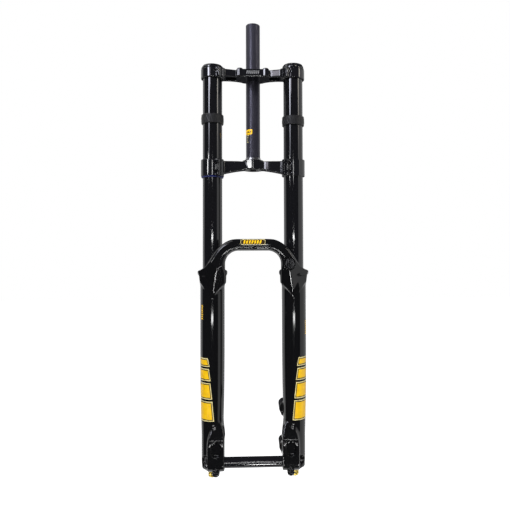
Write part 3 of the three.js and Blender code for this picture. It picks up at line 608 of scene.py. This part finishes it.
def axle_hole(x, y, z):
    across = np.hypot(y - AXLE_Y, z - AXLE_Z)
    through = across - (AXLE_R + RUNNING)
    head = np.maximum(across - (AXLE_HEAD_R + RUNNING), x + DROPOUT_OUTER)
    slit = np.maximum(np.abs(y - AXLE_Y) - 1, z - AXLE_Z)
    return np.minimum(np.minimum(through, head), slit)


def pinch_bolt_hole(x, y, z):
    across = np.hypot(np.abs(x) - PINCH_X, z - PINCH_Z)
    shaft = np.maximum(across - 2.8, y - PINCH_SEAT - 17)
    return np.minimum(shaft, np.maximum(across - 4.7, y - PINCH_SEAT))


def guide_recess(x, y, z):
    across = np.hypot(x - GUIDE[0], np.maximum(np.abs(z - GUIDE[1]) - 2, 0)) - 9.5
    well = np.maximum(across, y - ARCH_FRONT - GUIDE_DEPTH)
    screw = np.hypot(x - GUIDE[0], z - GUIDE[1] + GUIDE_SCREW_DROP) - 2.1
    return np.minimum(well, np.maximum(screw, y - ARCH_FRONT - 9))


def lower_casting(x, y, z):
    across = np.hypot(np.abs(x) - LEG_X, y - LEG_Y)
    leg = smooth_max(across - leg_radius(z), between(z, LEG_BOTTOM, COLLAR_TOP), 3)
    collar = smooth_max(across - 28.8, between(z, COLLAR_TOP - 6.5, COLLAR_TOP), 1.6)
    body = smooth_min(leg, collar, 2.5)
    body = smooth_min(body, arch(x, y, z), 4)
    body = smooth_min(body, dropout(x, y, z), 5)
    for height in POST_HEIGHTS:
        body = smooth_min(body, brake_post(x, y, z, height), 3)
    body = smooth_max(body, z - CASTING_HIGH[2], 0.2)
    for cut, edge in ((bore(x, y, z), 0.3), (axle_hole(x, y, z), 0.5),
                      (pinch_bolt_hole(x, y, z), 0.4),
                      (guide_recess(x, y, z), 0.8)):
        body = smooth_max(body, -cut, edge)
    return body


def make_lower_casting():
    xs = steps(-110.6, 110.6, 1.4)
    ys = steps(-74, 11.6, 1.4)
    zs = np.concatenate([steps(CASTING_LOW[2] - 2, -505, 1.4), steps(-500, -272, 6),
                         steps(-268, ARCH_TOP + 2, 1.4)])
    mesh = field_mesh("lower_casting_body", lower_casting, xs, ys, zs)
    add_piece("lower_casting_body", mesh, "lowers", [PAINT], ["lower_casting"])


# ---- crowns

def pinch_frame(x, y, angle):
    """Distances outwards and sideways from a clamp's centre, along its pinch ear."""
    across = np.abs(x) - LEG_X
    forward = y - LEG_Y
    out = -math.cos(angle) * across - math.sin(angle) * forward
    along = math.sin(angle) * across - math.cos(angle) * forward
    return out, along


def clamp_parts(x, y, z, angle, reach, half, low, high):
    """A split clamp's ring and pinch ear, and the bore and split to cut from it."""
    centre = np.hypot(np.abs(x) - LEG_X, y - LEG_Y)
    ring = smooth_max(centre - CLAMP_R, between(z, low, high), 1.2)
    out, along = pinch_frame(x, y, angle)
    ear = smooth_max(between(out, 12, reach), np.abs(along) - half, 2.4)
    ear = smooth_max(ear, between(z, low + 0.4, high - 0.4), 1.6)
    opening = centre - (STANCHION_R + RUNNING)
    split = np.maximum(np.abs(along) - 0.9, between(out, 16, 40))
    return smooth_min(ring, ear, 2.5), np.minimum(opening, split)


def ear_hole(x, y, z, angle, ear, height, head, shank, length):
    """The hole for a pinch bolt, with room for its head."""
    out, along = pinch_frame(x, y, angle)
    across = np.hypot(out - ear["out"], z - height)
    reach = ear["reach"]
    shaft = np.maximum(across - shank, -(along - reach + length))
    return np.minimum(shaft, np.maximum(across - head, reach - RUNNING - along))


LOWER_PLAN = polygon([
    (-20, -17), (22, -17), *curve((22, -17), (34, -21), (48, -21)),
    *curve((48, -21), (60, -21), (72, -30)), (72, -9),
    *curve((72, -9), (44, -7), (17, 8)), (-20, 8)])
LOWER_FACE = polygon([
    (-20, -3), (72, -3), (72, -33), *curve((72, -33), (42, -24), (12, -19)), (-20, -19)])
UPPER_PLAN = polygon([
    (-20, UPPER_FRONT), (31.5, UPPER_FRONT), (33.5, -36.5),
    *curve((33.5, -36.5), (50, -42), (70, -46)), (74, -8), *curve((74, -8), (44, -8), (18, 2)), (-20, 2)])


def lower_crown(x, y, z):
    side = np.abs(x)
    draft = 0.12 * (z + 12)
    bridge = smooth_max(LOWER_PLAN(side, y - draft), LOWER_FACE(side, z), 2.0)
    boss = post(x, y, z, (0, 0), BOSS_R, BOSS_FLOOR, 0, 0.8)
    facet = -y * math.cos(BOSS_FACET) + side * math.sin(BOSS_FACET) - 20.8
    boss = smooth_max(boss, facet, 0.3)
    chamfer = (np.hypot(x, y) - BOSS_R - z + BOSS_FLOOR + 2.6) * 0.707
    boss = smooth_max(boss, chamfer, 0.3)
    body = smooth_min(bridge, boss, 1.2)
    body = smooth_max(body, z, 0.3)
    low, high = LOWER_LOW[2], LOWER_HIGH[2] - 3.7
    clamp, opening = clamp_parts(x, y, z, LOWER_ANGLE, 27, 7.5, low, high)
    body = smooth_min(body, clamp, 3)
    body = smooth_max(body, z - LOWER_HIGH[2], 0.3)
    body = smooth_max(body, -opening, 0.5)
    bottom_cone = np.hypot(x, y) - 13.4 - np.clip(STEERER_SEAT - z, 0, 6) * 0.9
    steerer = np.where(z < STEERER_SEAT, bottom_cone, np.hypot(x, y) - STEERER_R - RUNNING)
    body = smooth_max(body, -steerer, 0.4)
    for height in LOWER_BOLT_HEIGHTS:
        hole = ear_hole(x, y, z, LOWER_ANGLE, LOWER_EAR, height, **LOWER_BOLT_HOLE)
        body = smooth_max(body, -hole, 0.4)
    return body


def upper_crown(x, y, z):
    side = np.abs(x)
    low, high = 162, 175.2
    sag = 0.7 + 1.2 * np.clip((side - 44) / 26, -1, 1) ** 2
    bar = smooth_max(UPPER_PLAN(side, y), between(z, low - sag, high), 1.5)
    ring = post(x, y, z, (0, 0), 19, low + 0.4, high, 1.2)
    ear = smooth_max(np.maximum(side - 13, between(y, 8, 28.5)),
                     between(z, low + 1.5, high - 1), 2)
    body = smooth_min(smooth_min(bar, ring, 4), ear, 2.5)
    for row in STEM_PAD_ROWS:
        pad = post(side, y, z, (STEM_PAD_X, row), 5.4, low, high + 1.8, 0.7)
        body = smooth_min(body, pad, 1.2)
    clamp, opening = clamp_parts(x, y, z, UPPER_ANGLE, 28.6, 8.4, UPPER_BOTTOM, 176)
    body = smooth_min(body, clamp, 2.5)
    body = smooth_max(body, -opening, 0.5)
    pocket = smooth_max(between(side, 33, 54), between(y, -33, -12), 4)
    pocket = smooth_max(pocket, between(z, low - 9, high - 4.5), 2)
    body = smooth_max(body, -pocket, 0.8)
    body = smooth_max(body, STEERER_R + RUNNING - np.hypot(x, y), 0.4)
    slit = np.maximum(side - 1, between(y, 13, 35))
    body = smooth_max(body, -slit, 0.4)
    for row in STEM_PAD_ROWS:
        body = smooth_max(body, 2.6 - np.hypot(side - STEM_PAD_X, y - row), 0.4)
    hole = ear_hole(x, y, z, UPPER_ANGLE, UPPER_EAR, UPPER_BOLT_HEIGHT, **UPPER_BOLT_HOLE)
    body = smooth_max(body, -hole, 0.4)
    across = np.hypot(y - STEERER_BOLT[0], z - STEERER_BOLT[1])
    cross = np.minimum(np.maximum(across - 2.8, -x - 12.5), np.maximum(across - 4.5, 8.2 - x))
    return smooth_max(body, -cross, 0.4)


def make_crowns():
    for node, shape in (("lower_crown", lower_crown), ("upper_crown", upper_crown)):
        low, high = box_mm(node)
        grid = [steps(low[i] - 1.5, high[i] + 1.5, 0.85) for i in range(3)]
        mesh = field_mesh(node + "_forging", shape, *grid)
        add_piece(node + "_forging", mesh, "chassis", [ANODISE], [node])


# ---- bolts

def bolt_profile(head, head_height, shank, length, socket):
    """A socket-head bolt from the tip of its shank round to the floor of its socket."""
    floor = head_height * 0.4
    return [(0, -length), (shank - 0.4, -length), (shank, -length + 0.6), (shank, 0),
            (head, 0), (head, head_height - 0.5), (head - 0.5, head_height),
            (socket + 0.35, head_height), (socket, head_height - 0.4), (socket, floor),
            (0, floor - 0.5)]


def hex_socket(socket):
    """Pulls a round socket's wall into six flats."""
    def swell(angle, radii, heights):
        sixth = math.pi / 3
        flat = math.cos(sixth / 2) / np.cos(np.mod(angle, sixth) - sixth / 2)
        wall = (np.abs(radii - socket) < 0.3) & (heights > 0)
        return np.where(wall, radii * (flat - 1), 0)
    return swell


def bolt(node, body, seat, direction, head, height, shank, length, socket, material,
         material_slot):
    turned(node + "_head", bolt_profile(head, height, shank, length, socket), seat, body,
           material_slot, [node], material, direction=direction, sides=72, radius=0.25,
           swell=hex_socket(socket))


def pinch_seat(side, angle, height, out, reach):
    """Where a pinch bolt's head sits on its ear, and the way that the bolt points."""
    across = np.array([-side * math.cos(angle), -math.sin(angle), 0])
    along = np.array([side * math.sin(angle), -math.cos(angle), 0])
    seat = np.array([side * LEG_X, LEG_Y, height]) + across * out + along * reach
    return seat, along


def make_bolts():
    for name, side in SIDES:
        for level, height in zip(("upper", "lower"), LOWER_BOLT_HEIGHTS):
            seat, along = pinch_seat(side, LOWER_ANGLE, height, **LOWER_EAR)
            bolt(f"lower_crown_bolt_{name}_{level}", "chassis", seat, along, 3.5, 4, 2.2, 11, 2,
                 BLACK_BOLT, "steel")
        seat, along = pinch_seat(side, UPPER_ANGLE, UPPER_BOLT_HEIGHT, **UPPER_EAR)
        bolt(f"upper_crown_bolt_{name}", "chassis", seat, along, 4.3, 4.4, 2.4, 12, 2.6,
             SILVER, "silver")
        seat = (side * PINCH_X, PINCH_SEAT + RUNNING, PINCH_Z)
        bolt(f"axle_pinch_bolt_{name}", "lowers", seat, (0, -1, 0), 4.4, 4.4, 2.5, 16, 2.7,
             BLACK_BOLT, "steel")
    bolt("steerer_pinch_bolt", "chassis", (8.5, *STEERER_BOLT), (1, 0, 0), 4.2, 4.4, 2.5, 20,
         2.6, BLACK_BOLT, "steel")
    seat = (GUIDE[0], ARCH_FRONT + 0.9, GUIDE[1] - GUIDE_SCREW_DROP)
    bolt("hose_guide_screw", "lowers", seat, (0, -1, 0), 3.2, 2.2, 1.8, 7, 1.7, BLACK_BOLT,
         "steel")


# ---- tubes and turned pieces

def leg_centre(side):
    return (side * LEG_X, LEG_Y, 0)


def make_tubes():
    inside = 17
    for name, side in SIDES:
        turned(f"stanchion_{name}_tube", [
            (inside, STANCHION_BOTTOM), (18, STANCHION_BOTTOM),
            (STANCHION_R, STANCHION_BOTTOM + 1.5), (STANCHION_R, STANCHION_TOP),
            (inside, STANCHION_TOP)], leg_centre(side), "chassis", "black_anodise",
            [f"stanchion_{name}"], STANCHION_COAT, sides=160)
    top, bottom = STEERER_HIGH[2], STEERER_LOW[2]
    turned("steerer_tube_body", [
        (11.6, bottom), (STEERER_R, bottom), (STEERER_R, top - 0.9), (STEERER_R - 0.9, top),
        (11.6, top)], (0, 0, 0), "chassis", "satin_grey", ["steerer_tube"], sides=144)
    turned("crown_race_ring", [
        (14.6, RACE_LOW[2]), (RACE_HIGH[0], RACE_LOW[2]), (RACE_HIGH[0], 1.8), (15.4, 1.8),
        (15.1, RACE_HIGH[2]), (14.6, RACE_HIGH[2])], (0, 0, 0), "chassis", "silver",
        ["crown_race"], sides=144, radius=0.3)
    under_head = -DROPOUT_OUTER - RUNNING
    turned("axle_tube", [
        (7.2, AXLE_LOW[0]), (11.2, AXLE_LOW[0]), (AXLE_HEAD_R, AXLE_LOW[0] + 0.8),
        (AXLE_HEAD_R, under_head), (AXLE_R, under_head), (AXLE_R, AXLE_HIGH[0]),
        (7.2, AXLE_HIGH[0])],
        (0, AXLE_Y, AXLE_Z), "axle_body", "black_anodise", ["axle"],
        direction=(1, 0, 0), sides=128)


def bumper_pattern(low, height, outer):
    """Short slanted bars that stand out of a bumper's face, in one band round its middle."""
    def swell(angle, radii, heights):
        share = (heights - low) / height
        along = angle * outer / 5.2 + share * 1.6
        bar = np.clip(3.2 * (np.abs(np.mod(along, 1) - 0.5) - 0.2), 0, 1)
        rows = np.clip(6 * (0.36 - np.abs(share - 0.5)), 0, 1)
        face = radii > outer - 0.3
        return np.where(face, 0.42 * bar * rows - 0.42, 0)
    return swell


def make_bumpers():
    for name, side in SIDES:
        node = f"frame_bumper_{name}"
        low, high = box_mm(node)
        outer = (high[0] - low[0]) / 2
        bottom, top = low[2], high[2]
        face = [(outer, z) for z in np.linspace(bottom + 1.2, top - 1.2, 26)]
        turned(f"{node}_sleeve", [
            (STANCHION_R + RUNNING, bottom), (outer - 1, bottom), *face, (outer - 1, top),
            (STANCHION_R + RUNNING, top)], leg_centre(side), "chassis", "rubber",
            [node], sides=288, radius=0.3, swell=bumper_pattern(bottom, top - bottom, outer))
    low, high = box_mm("travel_ring")
    turned("travel_ring_loop", [
        (STANCHION_R + RUNNING, low[2]), (21.2, low[2]), (21.9, (low[2] + high[2]) / 2),
        (21.2, high[2]), (STANCHION_R + RUNNING, high[2])], leg_centre(-1), "chassis",
        "blue_rubber", ["travel_ring"], sides=128, radius=0.6)


def flutes(count, depth, outer, low, high):
    """Scallops round a knob, for fingers."""
    def swell(angle, radii, heights):
        wave = np.clip(np.cos(angle * count) * 1.6, -1, 1) * 0.5 - 0.5
        on = (radii > outer - 1.2) & (heights > low) & (heights < high)
        return np.where(on, depth * wave, 0)
    return swell


def make_caps():
    seat = STANCHION_TOP + RUNNING
    plug, flange = 16.7, 22
    for node, side, hole, foot in (("air_top_cap", -1, 4.3, 158),
                                   ("damper_top_cap", 1, 3.6, 150)):
        top = box_mm(node)[1][2]
        notch = flutes(8, 1.1, 20.2, seat + 2.4, top + 1)
        dome = [(18.2 + 3.1 * math.cos(a), seat + 2.6 + (top - seat - 2.6) * math.sin(a))
                for a in np.linspace(0, math.pi / 2, 9)]
        turned(f"{node}_body", [
            (hole, foot), (plug, foot), (plug, seat), (flange, seat), (flange, seat + 2.4),
            (21.3, seat + 2.6), *dome[1:], (hole, top)], leg_centre(side), "chassis",
            "black_anodise", [node], sides=160, radius=0.3, swell=notch)
    low, high = box_mm("air_valve_cap")
    turned("air_valve_cap_body", [
        (0, low[2] + 1), (4.3, low[2] + 1), (4.3, low[2]), (8.6, low[2]), (8.6, high[2] - 0.8),
        (7.8, high[2]), (0, high[2])], leg_centre(-1), "chassis", "gold_anodise",
        ["air_valve_cap"], sides=144, radius=0.3,
        swell=flutes(12, 0.5, 8.6, low[2] + 0.2, high[2] - 0.2))
    low, high = box_mm("low_speed_knob")
    turned("low_speed_knob_dial", [
        (3.2, low[2]), (13, low[2]), (13, high[2] - 0.8), (12.2, high[2]), (3.2, high[2])],
        leg_centre(1), "low_speed_adjuster", "blue_anodise", ["low_speed_knob"],
        sides=180, radius=0.25, swell=flutes(15, 0.7, 13, low[2] + 0.1, high[2] - 0.3))
    low, high = box_mm("high_speed_knob")
    turned("high_speed_knob_dial", [
        (0, low[2]), (6.3, low[2]), (6.3, high[2] - 0.6), (5.7, high[2]), (3, high[2]),
        (2.8, high[2] - 0.8), (0, high[2] - 0.8)], leg_centre(1), "high_speed_adjuster",
        "blue_anodise", ["high_speed_knob"], sides=120, radius=0.2,
        swell=flutes(6, 0.5, 6.3, low[2] + 0.3, high[2] - 0.1))
    for node, side, body in (("ramp_valve_cap", -1, "lowers"),
                             ("rebound_knob", 1, "rebound_adjuster")):
        low, high = box_mm(node)
        grip = [(7.9, z) for z in np.linspace(low[2] + 1.6, high[2] - 5, 5)]
        turned(f"{node}_body", [
            (0, low[2] + 1), (2.4, low[2] + 1), (2.6, low[2]), (6.4, low[2]), *grip,
            (8.4, high[2] - 4), (8.4, high[2]), (0, high[2])], leg_centre(side), body,
            "gold_anodise", [node], sides=160, radius=0.3,
            swell=flutes(20, 0.45, 7.9, low[2] + 1.2, high[2] - 5))


def make_wipers():
    for name, side in SIDES:
        top = COLLAR_TOP + 1.4
        inner = STANCHION_R + RUNNING
        turned(f"wiper_seal_{name}_lip", [
            (inner, COLLAR_TOP - 11.7), (24, COLLAR_TOP - 11.7), (24, COLLAR_TOP - 2),
            (23, COLLAR_TOP - 1), (21.6, COLLAR_TOP - 0.4), (20.4, top), (inner, top),
            (inner + 0.9, COLLAR_TOP - 3), (inner, COLLAR_TOP - 5)], leg_centre(side), "lowers",
            "rubber", [f"wiper_seal_{name}"], sides=128, radius=0.3)


# ---- hose guide

def hose_guide(x, y, z):
    """An oval plate in the arch's recess, with a bridge that holds the brake hose."""
    seat = ARCH_FRONT + GUIDE_DEPTH - RUNNING
    oval = np.hypot(x - GUIDE[0], np.maximum(np.abs(z - GUIDE[1]) - 2, 0)) - 8.3
    plate = smooth_max(oval, between(y, ARCH_FRONT + 1.2, seat), 0.6)
    bridge = smooth_max(between(x, GUIDE[0] - 5, GUIDE[0] + 3),
                        between(y, ARCH_FRONT - 1.5, ARCH_FRONT + 2), 1.4)
    bridge = smooth_max(bridge, between(z, GUIDE[1] - 1, GUIDE[1] + 7.5), 1.4)
    across = (x - GUIDE[0] + 1 - 0.35 * (z - GUIDE[1] - 3)) / 1.06
    hose = np.hypot(across, y - ARCH_FRONT - 0.9) - 2.6
    screw = np.hypot(x - GUIDE[0], z - GUIDE[1] + GUIDE_SCREW_DROP) - 2.3
    body = smooth_min(plate, bridge, 0.8)
    return smooth_max(smooth_max(body, -hose, 0.3), -screw, 0.3)


def make_hose_guide():
    low, high = box_mm("hose_guide")
    grid = [steps(low[i] - 1, high[i] + 1, 0.35) for i in range(3)]
    mesh = field_mesh("hose_guide_clip", hose_guide, *grid)
    add_piece("hose_guide_clip", mesh, "lowers", [PLASTIC], ["hose_guide"])


# ---- graphics

FILMS = [CREAM, DARK_FILM, YELLOW]
CREAM_LAYER, DARK_LAYER, YELLOW_LAYER = range(3)


def on_leg(side):
    """Places millimetres round the leg from its front, outwards, and heights."""
    def place(u, v, lift):
        radius = leg_radius(v) + lift
        turn = u / leg_radius(v)
        return side * (LEG_X + radius * np.sin(turn)), LEG_Y - radius * np.cos(turn), v
    return place


def on_steerer(u, v, lift):
    turn = u / STEERER_R
    return (STEERER_R + lift) * np.sin(turn), -(STEERER_R + lift) * np.cos(turn), v


def on_arch(u, v, lift):
    return u, ARCH_FRONT + bulge(ARCH_TOP - v) - lift, v


def on_upper_crown(u, v, lift):
    return u, UPPER_FRONT - lift, v


def film(name, body, place, bars, films=None, across=2.0, up=2.0):
    """Thin bars of film that follow a surface.

    Each bar is (layer, low, high, left, right, lean, corner): the lean moves its top edge
    sideways, and the corner is the radius of its four corners.
    """
    points, faces, indices = [], [], []
    for layer, low, high, left, right, lean, corner in bars:
        rows = 3 + int((high - low) / up)
        columns = 2 + int((right - left) / across)
        v = np.linspace(low, high, rows)
        if corner:
            ends = np.linspace(0, corner, 6)
            v = np.unique(np.concatenate([v, low + ends, high - ends]))
            rows = len(v)
        reach = np.clip(corner - np.minimum(v - low, high - v), 0, corner)
        inset = corner - np.sqrt(corner * corner - reach * reach)
        shift = lean * (v - low) / (high - low)
        start, end = left + inset + shift, right - inset + shift
        u = start[:, None] + (end - start)[:, None] * np.linspace(0, 1, columns)
        v = np.repeat(v[:, None], columns, axis=1)
        base = len(points)
        for lift in (0.02, 0.1 + 0.05 * layer):
            x, y, z = np.broadcast_arrays(*place(u, v, lift))
            points.extend(np.stack([x, y, z], axis=-1).reshape(-1, 3))
        size = rows * columns
        quads = []
        for i in range(rows - 1):
            for j in range(columns - 1):
                a = base + i * columns + j
                quad = (a, a + 1, a + columns + 1, a + columns)
                quads.append(quad[::-1])
                quads.append(tuple(k + size for k in quad))
        rim = [base + j for j in range(columns)]
        rim += [base + i * columns + columns - 1 for i in range(1, rows)]
        rim += [base + (rows - 1) * columns + j for j in range(columns - 2, -1, -1)]
        rim += [base + i * columns for i in range(rows - 2, 0, -1)]
        for a, b in zip(rim, rim[1:] + rim[:1]):
            quads.append((a, b, b + size, a + size))
        a, b, c = (np.array(points[k]) for k in quads[1][:3])
        outwards = np.array(points[base + size]) - np.array(points[base])
        if np.dot(np.cross(b - a, c - a), outwards) < 0:
            quads = [quad[::-1] for quad in quads]
        faces += quads
        indices += [layer] * len(quads)
    mesh = mesh_of(name, points, faces, smooth_angle=30)
    add_piece(name, mesh, body, films or FILMS)
    mesh.polygons.foreach_set("material_index", indices)


def bordered(low, high, left, right, lean, line=1.7):
    """A yellow bar in a dark line in a cream line."""
    return [(layer, low + line * layer, high - line * layer, left + line * layer,
             right - line * layer, lean * (1 - 2 * line * layer / (high - low)), 0)
            for layer in (CREAM_LAYER, DARK_LAYER, YELLOW_LAYER)]


def ticks(low, high, left, right, count, lean):
    """A row of short leaning bars, each on 0.6 of its share of the row."""
    pitch = (right - left) / count
    return [(YELLOW_LAYER, low, high, left + pitch * i, left + pitch * (i + 0.6), lean, 0)
            for i in range(count)]


def make_graphics():
    for name, side in SIDES:
        bars = []
        for low, high, left in ((-508, -470, -5), (-466, -435, -1.5), (-431, -408, 1.5),
                                (-404, -388, 3.5)):
            bars += bordered(low, high, left, 31, 3.5)
        film(f"leg_graphic_{name}", "lowers", on_leg(side), bars)
    for name, side, top, start, end in (("left", -1, -285, 18, 24.5),
                                        ("right", 1, -316, 24, 33)):
        bars = [(DARK_LAYER, top - 31, top, start, end, 0, 1.2)]
        for i in range(7):
            low = top - 29.6 + 4.1 * i
            bars.append((YELLOW_LAYER, low, low + 2.6, start + 1, end - 1, 0.6, 0))
        film(f"leg_label_{name}", "lowers", on_leg(side), bars)
    low, high = ARCH_TOP - 11.4, ARCH_TOP - 1.4
    plate = [(CREAM_LAYER, low, high, -23.4, 23.4, 0, 2.6),
             (DARK_LAYER, low + 0.6, high - 0.6, -22.8, 22.8, 0, 2.1)]
    film("arch_label", "lowers", on_arch,
         plate + ticks(low + 2, high - 1.6, -18.5, 17, 7, 1.6), across=1.5, up=1.0)
    steerer = [(YELLOW_LAYER, 52, 62.5, -23, -1.6, 0, 1.6)]
    steerer += [(CREAM_LAYER, z, z + 1.1, -15, -15 + w, 0.4, 0)
                for z, w in ((49.4, 6), (45.2, 4.4), (40.6, 3.2), (36.2, 4.8))]
    film("steerer_label", "chassis", on_steerer, steerer, across=0.8)
    mark = [(DARK_LAYER, 55.2, 59.4, -13 + 3.1 * i, -11.2 + 3.1 * i, 1, 0) for i in range(3)]
    film("steerer_label_mark", "chassis",
         lambda u, v, lift: on_steerer(u, v, lift + 0.2), mark, across=0.8)
    etched = [(0, 165.2, 172, -13 + 3.8 * i, -13 + 3.8 * i + 2.1, 1.2, 0) for i in range(7)]
    etched += [(0, 166.8, 170.4, -11 + 3.8 * i, -9.8 + 3.8 * i, 0.6, 0) for i in range(6)]
    film("upper_crown_mark", "chassis", on_upper_crown, etched, [ETCHED])


# ---- stage, lights and camera

def floor_material(name, colour, strength):
    """A matte surface that glows a little, so that the floor meets the backdrop unseen."""
    material, nodes, links, shader, coords = new_material(name)
    tone = two_colours(nodes, links, noise(nodes, links, coords, 3), colour, colour)
    links.new(tone, shader.inputs["Base Color"])
    shader.inputs["Roughness"].default_value = 0.8
    shader.inputs["Emission Color"].default_value = (*colour, 1)
    shader.inputs["Emission Strength"].default_value = strength
    return material


def make_floor():
    """A wide pale floor, which lights and mirrors nothing on the fork."""
    half, height = 15, -1.9
    mesh = bpy.data.meshes.new("floor")
    corners = [(-half, -half, 0), (half, -half, 0), (half, half, 0), (-half, half, 0)]
    mesh.from_pydata(corners, [], [(0, 1, 2, 3)])
    mesh.materials.append(floor_material("studio_white", (0.92, 0.92, 0.92), 1.12))
    floor = in_scene("floor", mesh)
    floor.location = (0, 0, height)
    floor.visible_glossy = False
    floor.visible_diffuse = False


def area_light(name, place, target, width, height, radiance, colour=(1, 1, 1), fades=False):
    """A soft panel of even radiance, or one that fades out towards its foot."""
    data = bpy.data.lights.new(name, "AREA")
    data.shape = "RECTANGLE"
    data.size, data.size_y = width, height
    data.energy = radiance * math.pi * width * height
    data.color = colour
    if fades:
        data.use_nodes = True
        nodes, links = data.node_tree.nodes, data.node_tree.links
        split = nodes.new("ShaderNodeSeparateXYZ")
        links.new(nodes.new("ShaderNodeNewGeometry").outputs["Parametric"], split.inputs[0])
        ramp = nodes.new("ShaderNodeMapRange")
        ramp.interpolation_type = "SMOOTHERSTEP"
        ramp.inputs["From Max"].default_value = 0.8
        ramp.inputs["To Min"].default_value = 0.03
        links.new(split.outputs["Y"], ramp.inputs["Value"])
        links.new(ramp.outputs["Result"], nodes["Emission"].inputs["Strength"])
    light = in_scene(name, data)
    light.location = place
    light.rotation_mode = "QUATERNION"
    light.rotation_quaternion = (Vector(target) - Vector(place)).to_track_quat("-Z", "Y")
    light.visible_camera = False
    return light


def make_world():
    """A pale backdrop for the camera and a dim room for reflections."""
    world = bpy.data.worlds.new("studio")
    bpy.context.scene.world = world
    world.use_nodes = True
    nodes, links = world.node_tree.nodes, world.node_tree.links
    background = nodes["Background"]
    seen = nodes.new("ShaderNodeBackground")
    seen.inputs["Color"].default_value = (1, 1, 1, 1)
    seen.inputs["Strength"].default_value = 1.0
    background.inputs["Color"].default_value = (0.9, 0.92, 1, 1)
    background.inputs["Strength"].default_value = 0.05
    path = nodes.new("ShaderNodeLightPath")
    mix = nodes.new("ShaderNodeMixShader")
    links.new(path.outputs["Is Camera Ray"], mix.inputs["Fac"])
    links.new(background.outputs["Background"], mix.inputs[1])
    links.new(seen.outputs["Background"], mix.inputs[2])
    links.new(mix.outputs["Shader"], nodes["World Output"].inputs["Surface"])


def from_azimuth(degrees, distance, height):
    """A place round the fork: 0 is in front and 90 is on its disc-brake side."""
    angle = math.radians(degrees)
    return (distance * math.sin(angle), -distance * math.cos(angle), height)


def make_lights():
    for name, azimuth, width, radiance, colour in (
            ("strip_left", -38, 0.3, 19, (0.85, 0.87, 1)),
            ("strip_right", 64, 0.13, 11, (1, 0.93, 0.82))):
        x, y, z = from_azimuth(azimuth, 1.6, 0.6)
        area_light(name, (x, y, z), (0, 0, z), width, 0.9, radiance, colour, fades=True)
    area_light("side_right", from_azimuth(106, 1.55, -0.35), (0, 0, -0.35), 3.6, 2.6, 0.65)
    area_light("side_left", from_azimuth(-128, 1.55, -0.35), (0, 0, -0.35), 1.6, 2.6, 0.7)
    area_light("under", (0, 0.75, -1.2), (0, 0.75, 0), 2.4, 2.0, 0.9)
    area_light("high_left", (-1.4, 0.1, 1.8), (0, 0, 0), 1.6, 1.6, 1.6)
    key = area_light("key_front", (0, -2.1, 2.1), (0, 0, -0.2), 1.9, 1.2, 16)
    key.visible_glossy = False
    area_light("front_line_upper", (0, -1.6, -0.131), (0, 0, -0.15), 0.5, 0.022, 30)
    area_light("front_line_lower", (0, -1.6, -0.537), (0, 0, -0.3), 0.5, 0.045, 20)
    area_light("front_clamp", (0, -1.6, 0.21), (0, 0, 0.08), 0.14, 0.1, 9)
    x, y, z = from_azimuth(-44, 1.6, 0.23)
    area_light("clamp_patch", (x, y, z), (0, 0, z), 0.17, 0.1, 20)
    x, y, z = from_azimuth(-27, 1.6, 0.7)
    area_light("arm_glow", (x, y, z), (0, 0, z), 0.34, 0.16, 4, (0.9, 0.86, 1))
    for name, across in (("low_lamp_left", -1.1), ("low_lamp_middle", 0.03),
                         ("low_lamp_right", 0.34)):
        area_light(name, (across, -1.3, -1.4), (0, 0, -0.2), 0.13, 0.1, 60)


def make_camera():
    data = bpy.data.cameras.new("camera")
    data.sensor_width = 36
    data.lens = 35.294
    data.shift_x = -0.0433
    data.shift_y = -0.0471
    camera = in_scene("camera", data)
    turn = (Matrix.Rotation(math.radians(-2.24), 4, "Z")
            @ Matrix.Rotation(math.radians(91.62), 4, "X")
            @ Matrix.Rotation(math.radians(-0.21), 4, "Z"))
    camera.matrix_world = Matrix.Translation((0.00865, -1.01896, -0.17196)) @ turn
    bpy.context.scene.camera = camera


make_camera()
make_world()
make_lights()
make_floor()
bpy.context.scene.view_settings.view_transform = "Standard"

make_lower_casting()
make_crowns()
make_bolts()
make_tubes()
make_bumpers()
make_caps()
make_wipers()
make_hose_guide()
make_graphics()
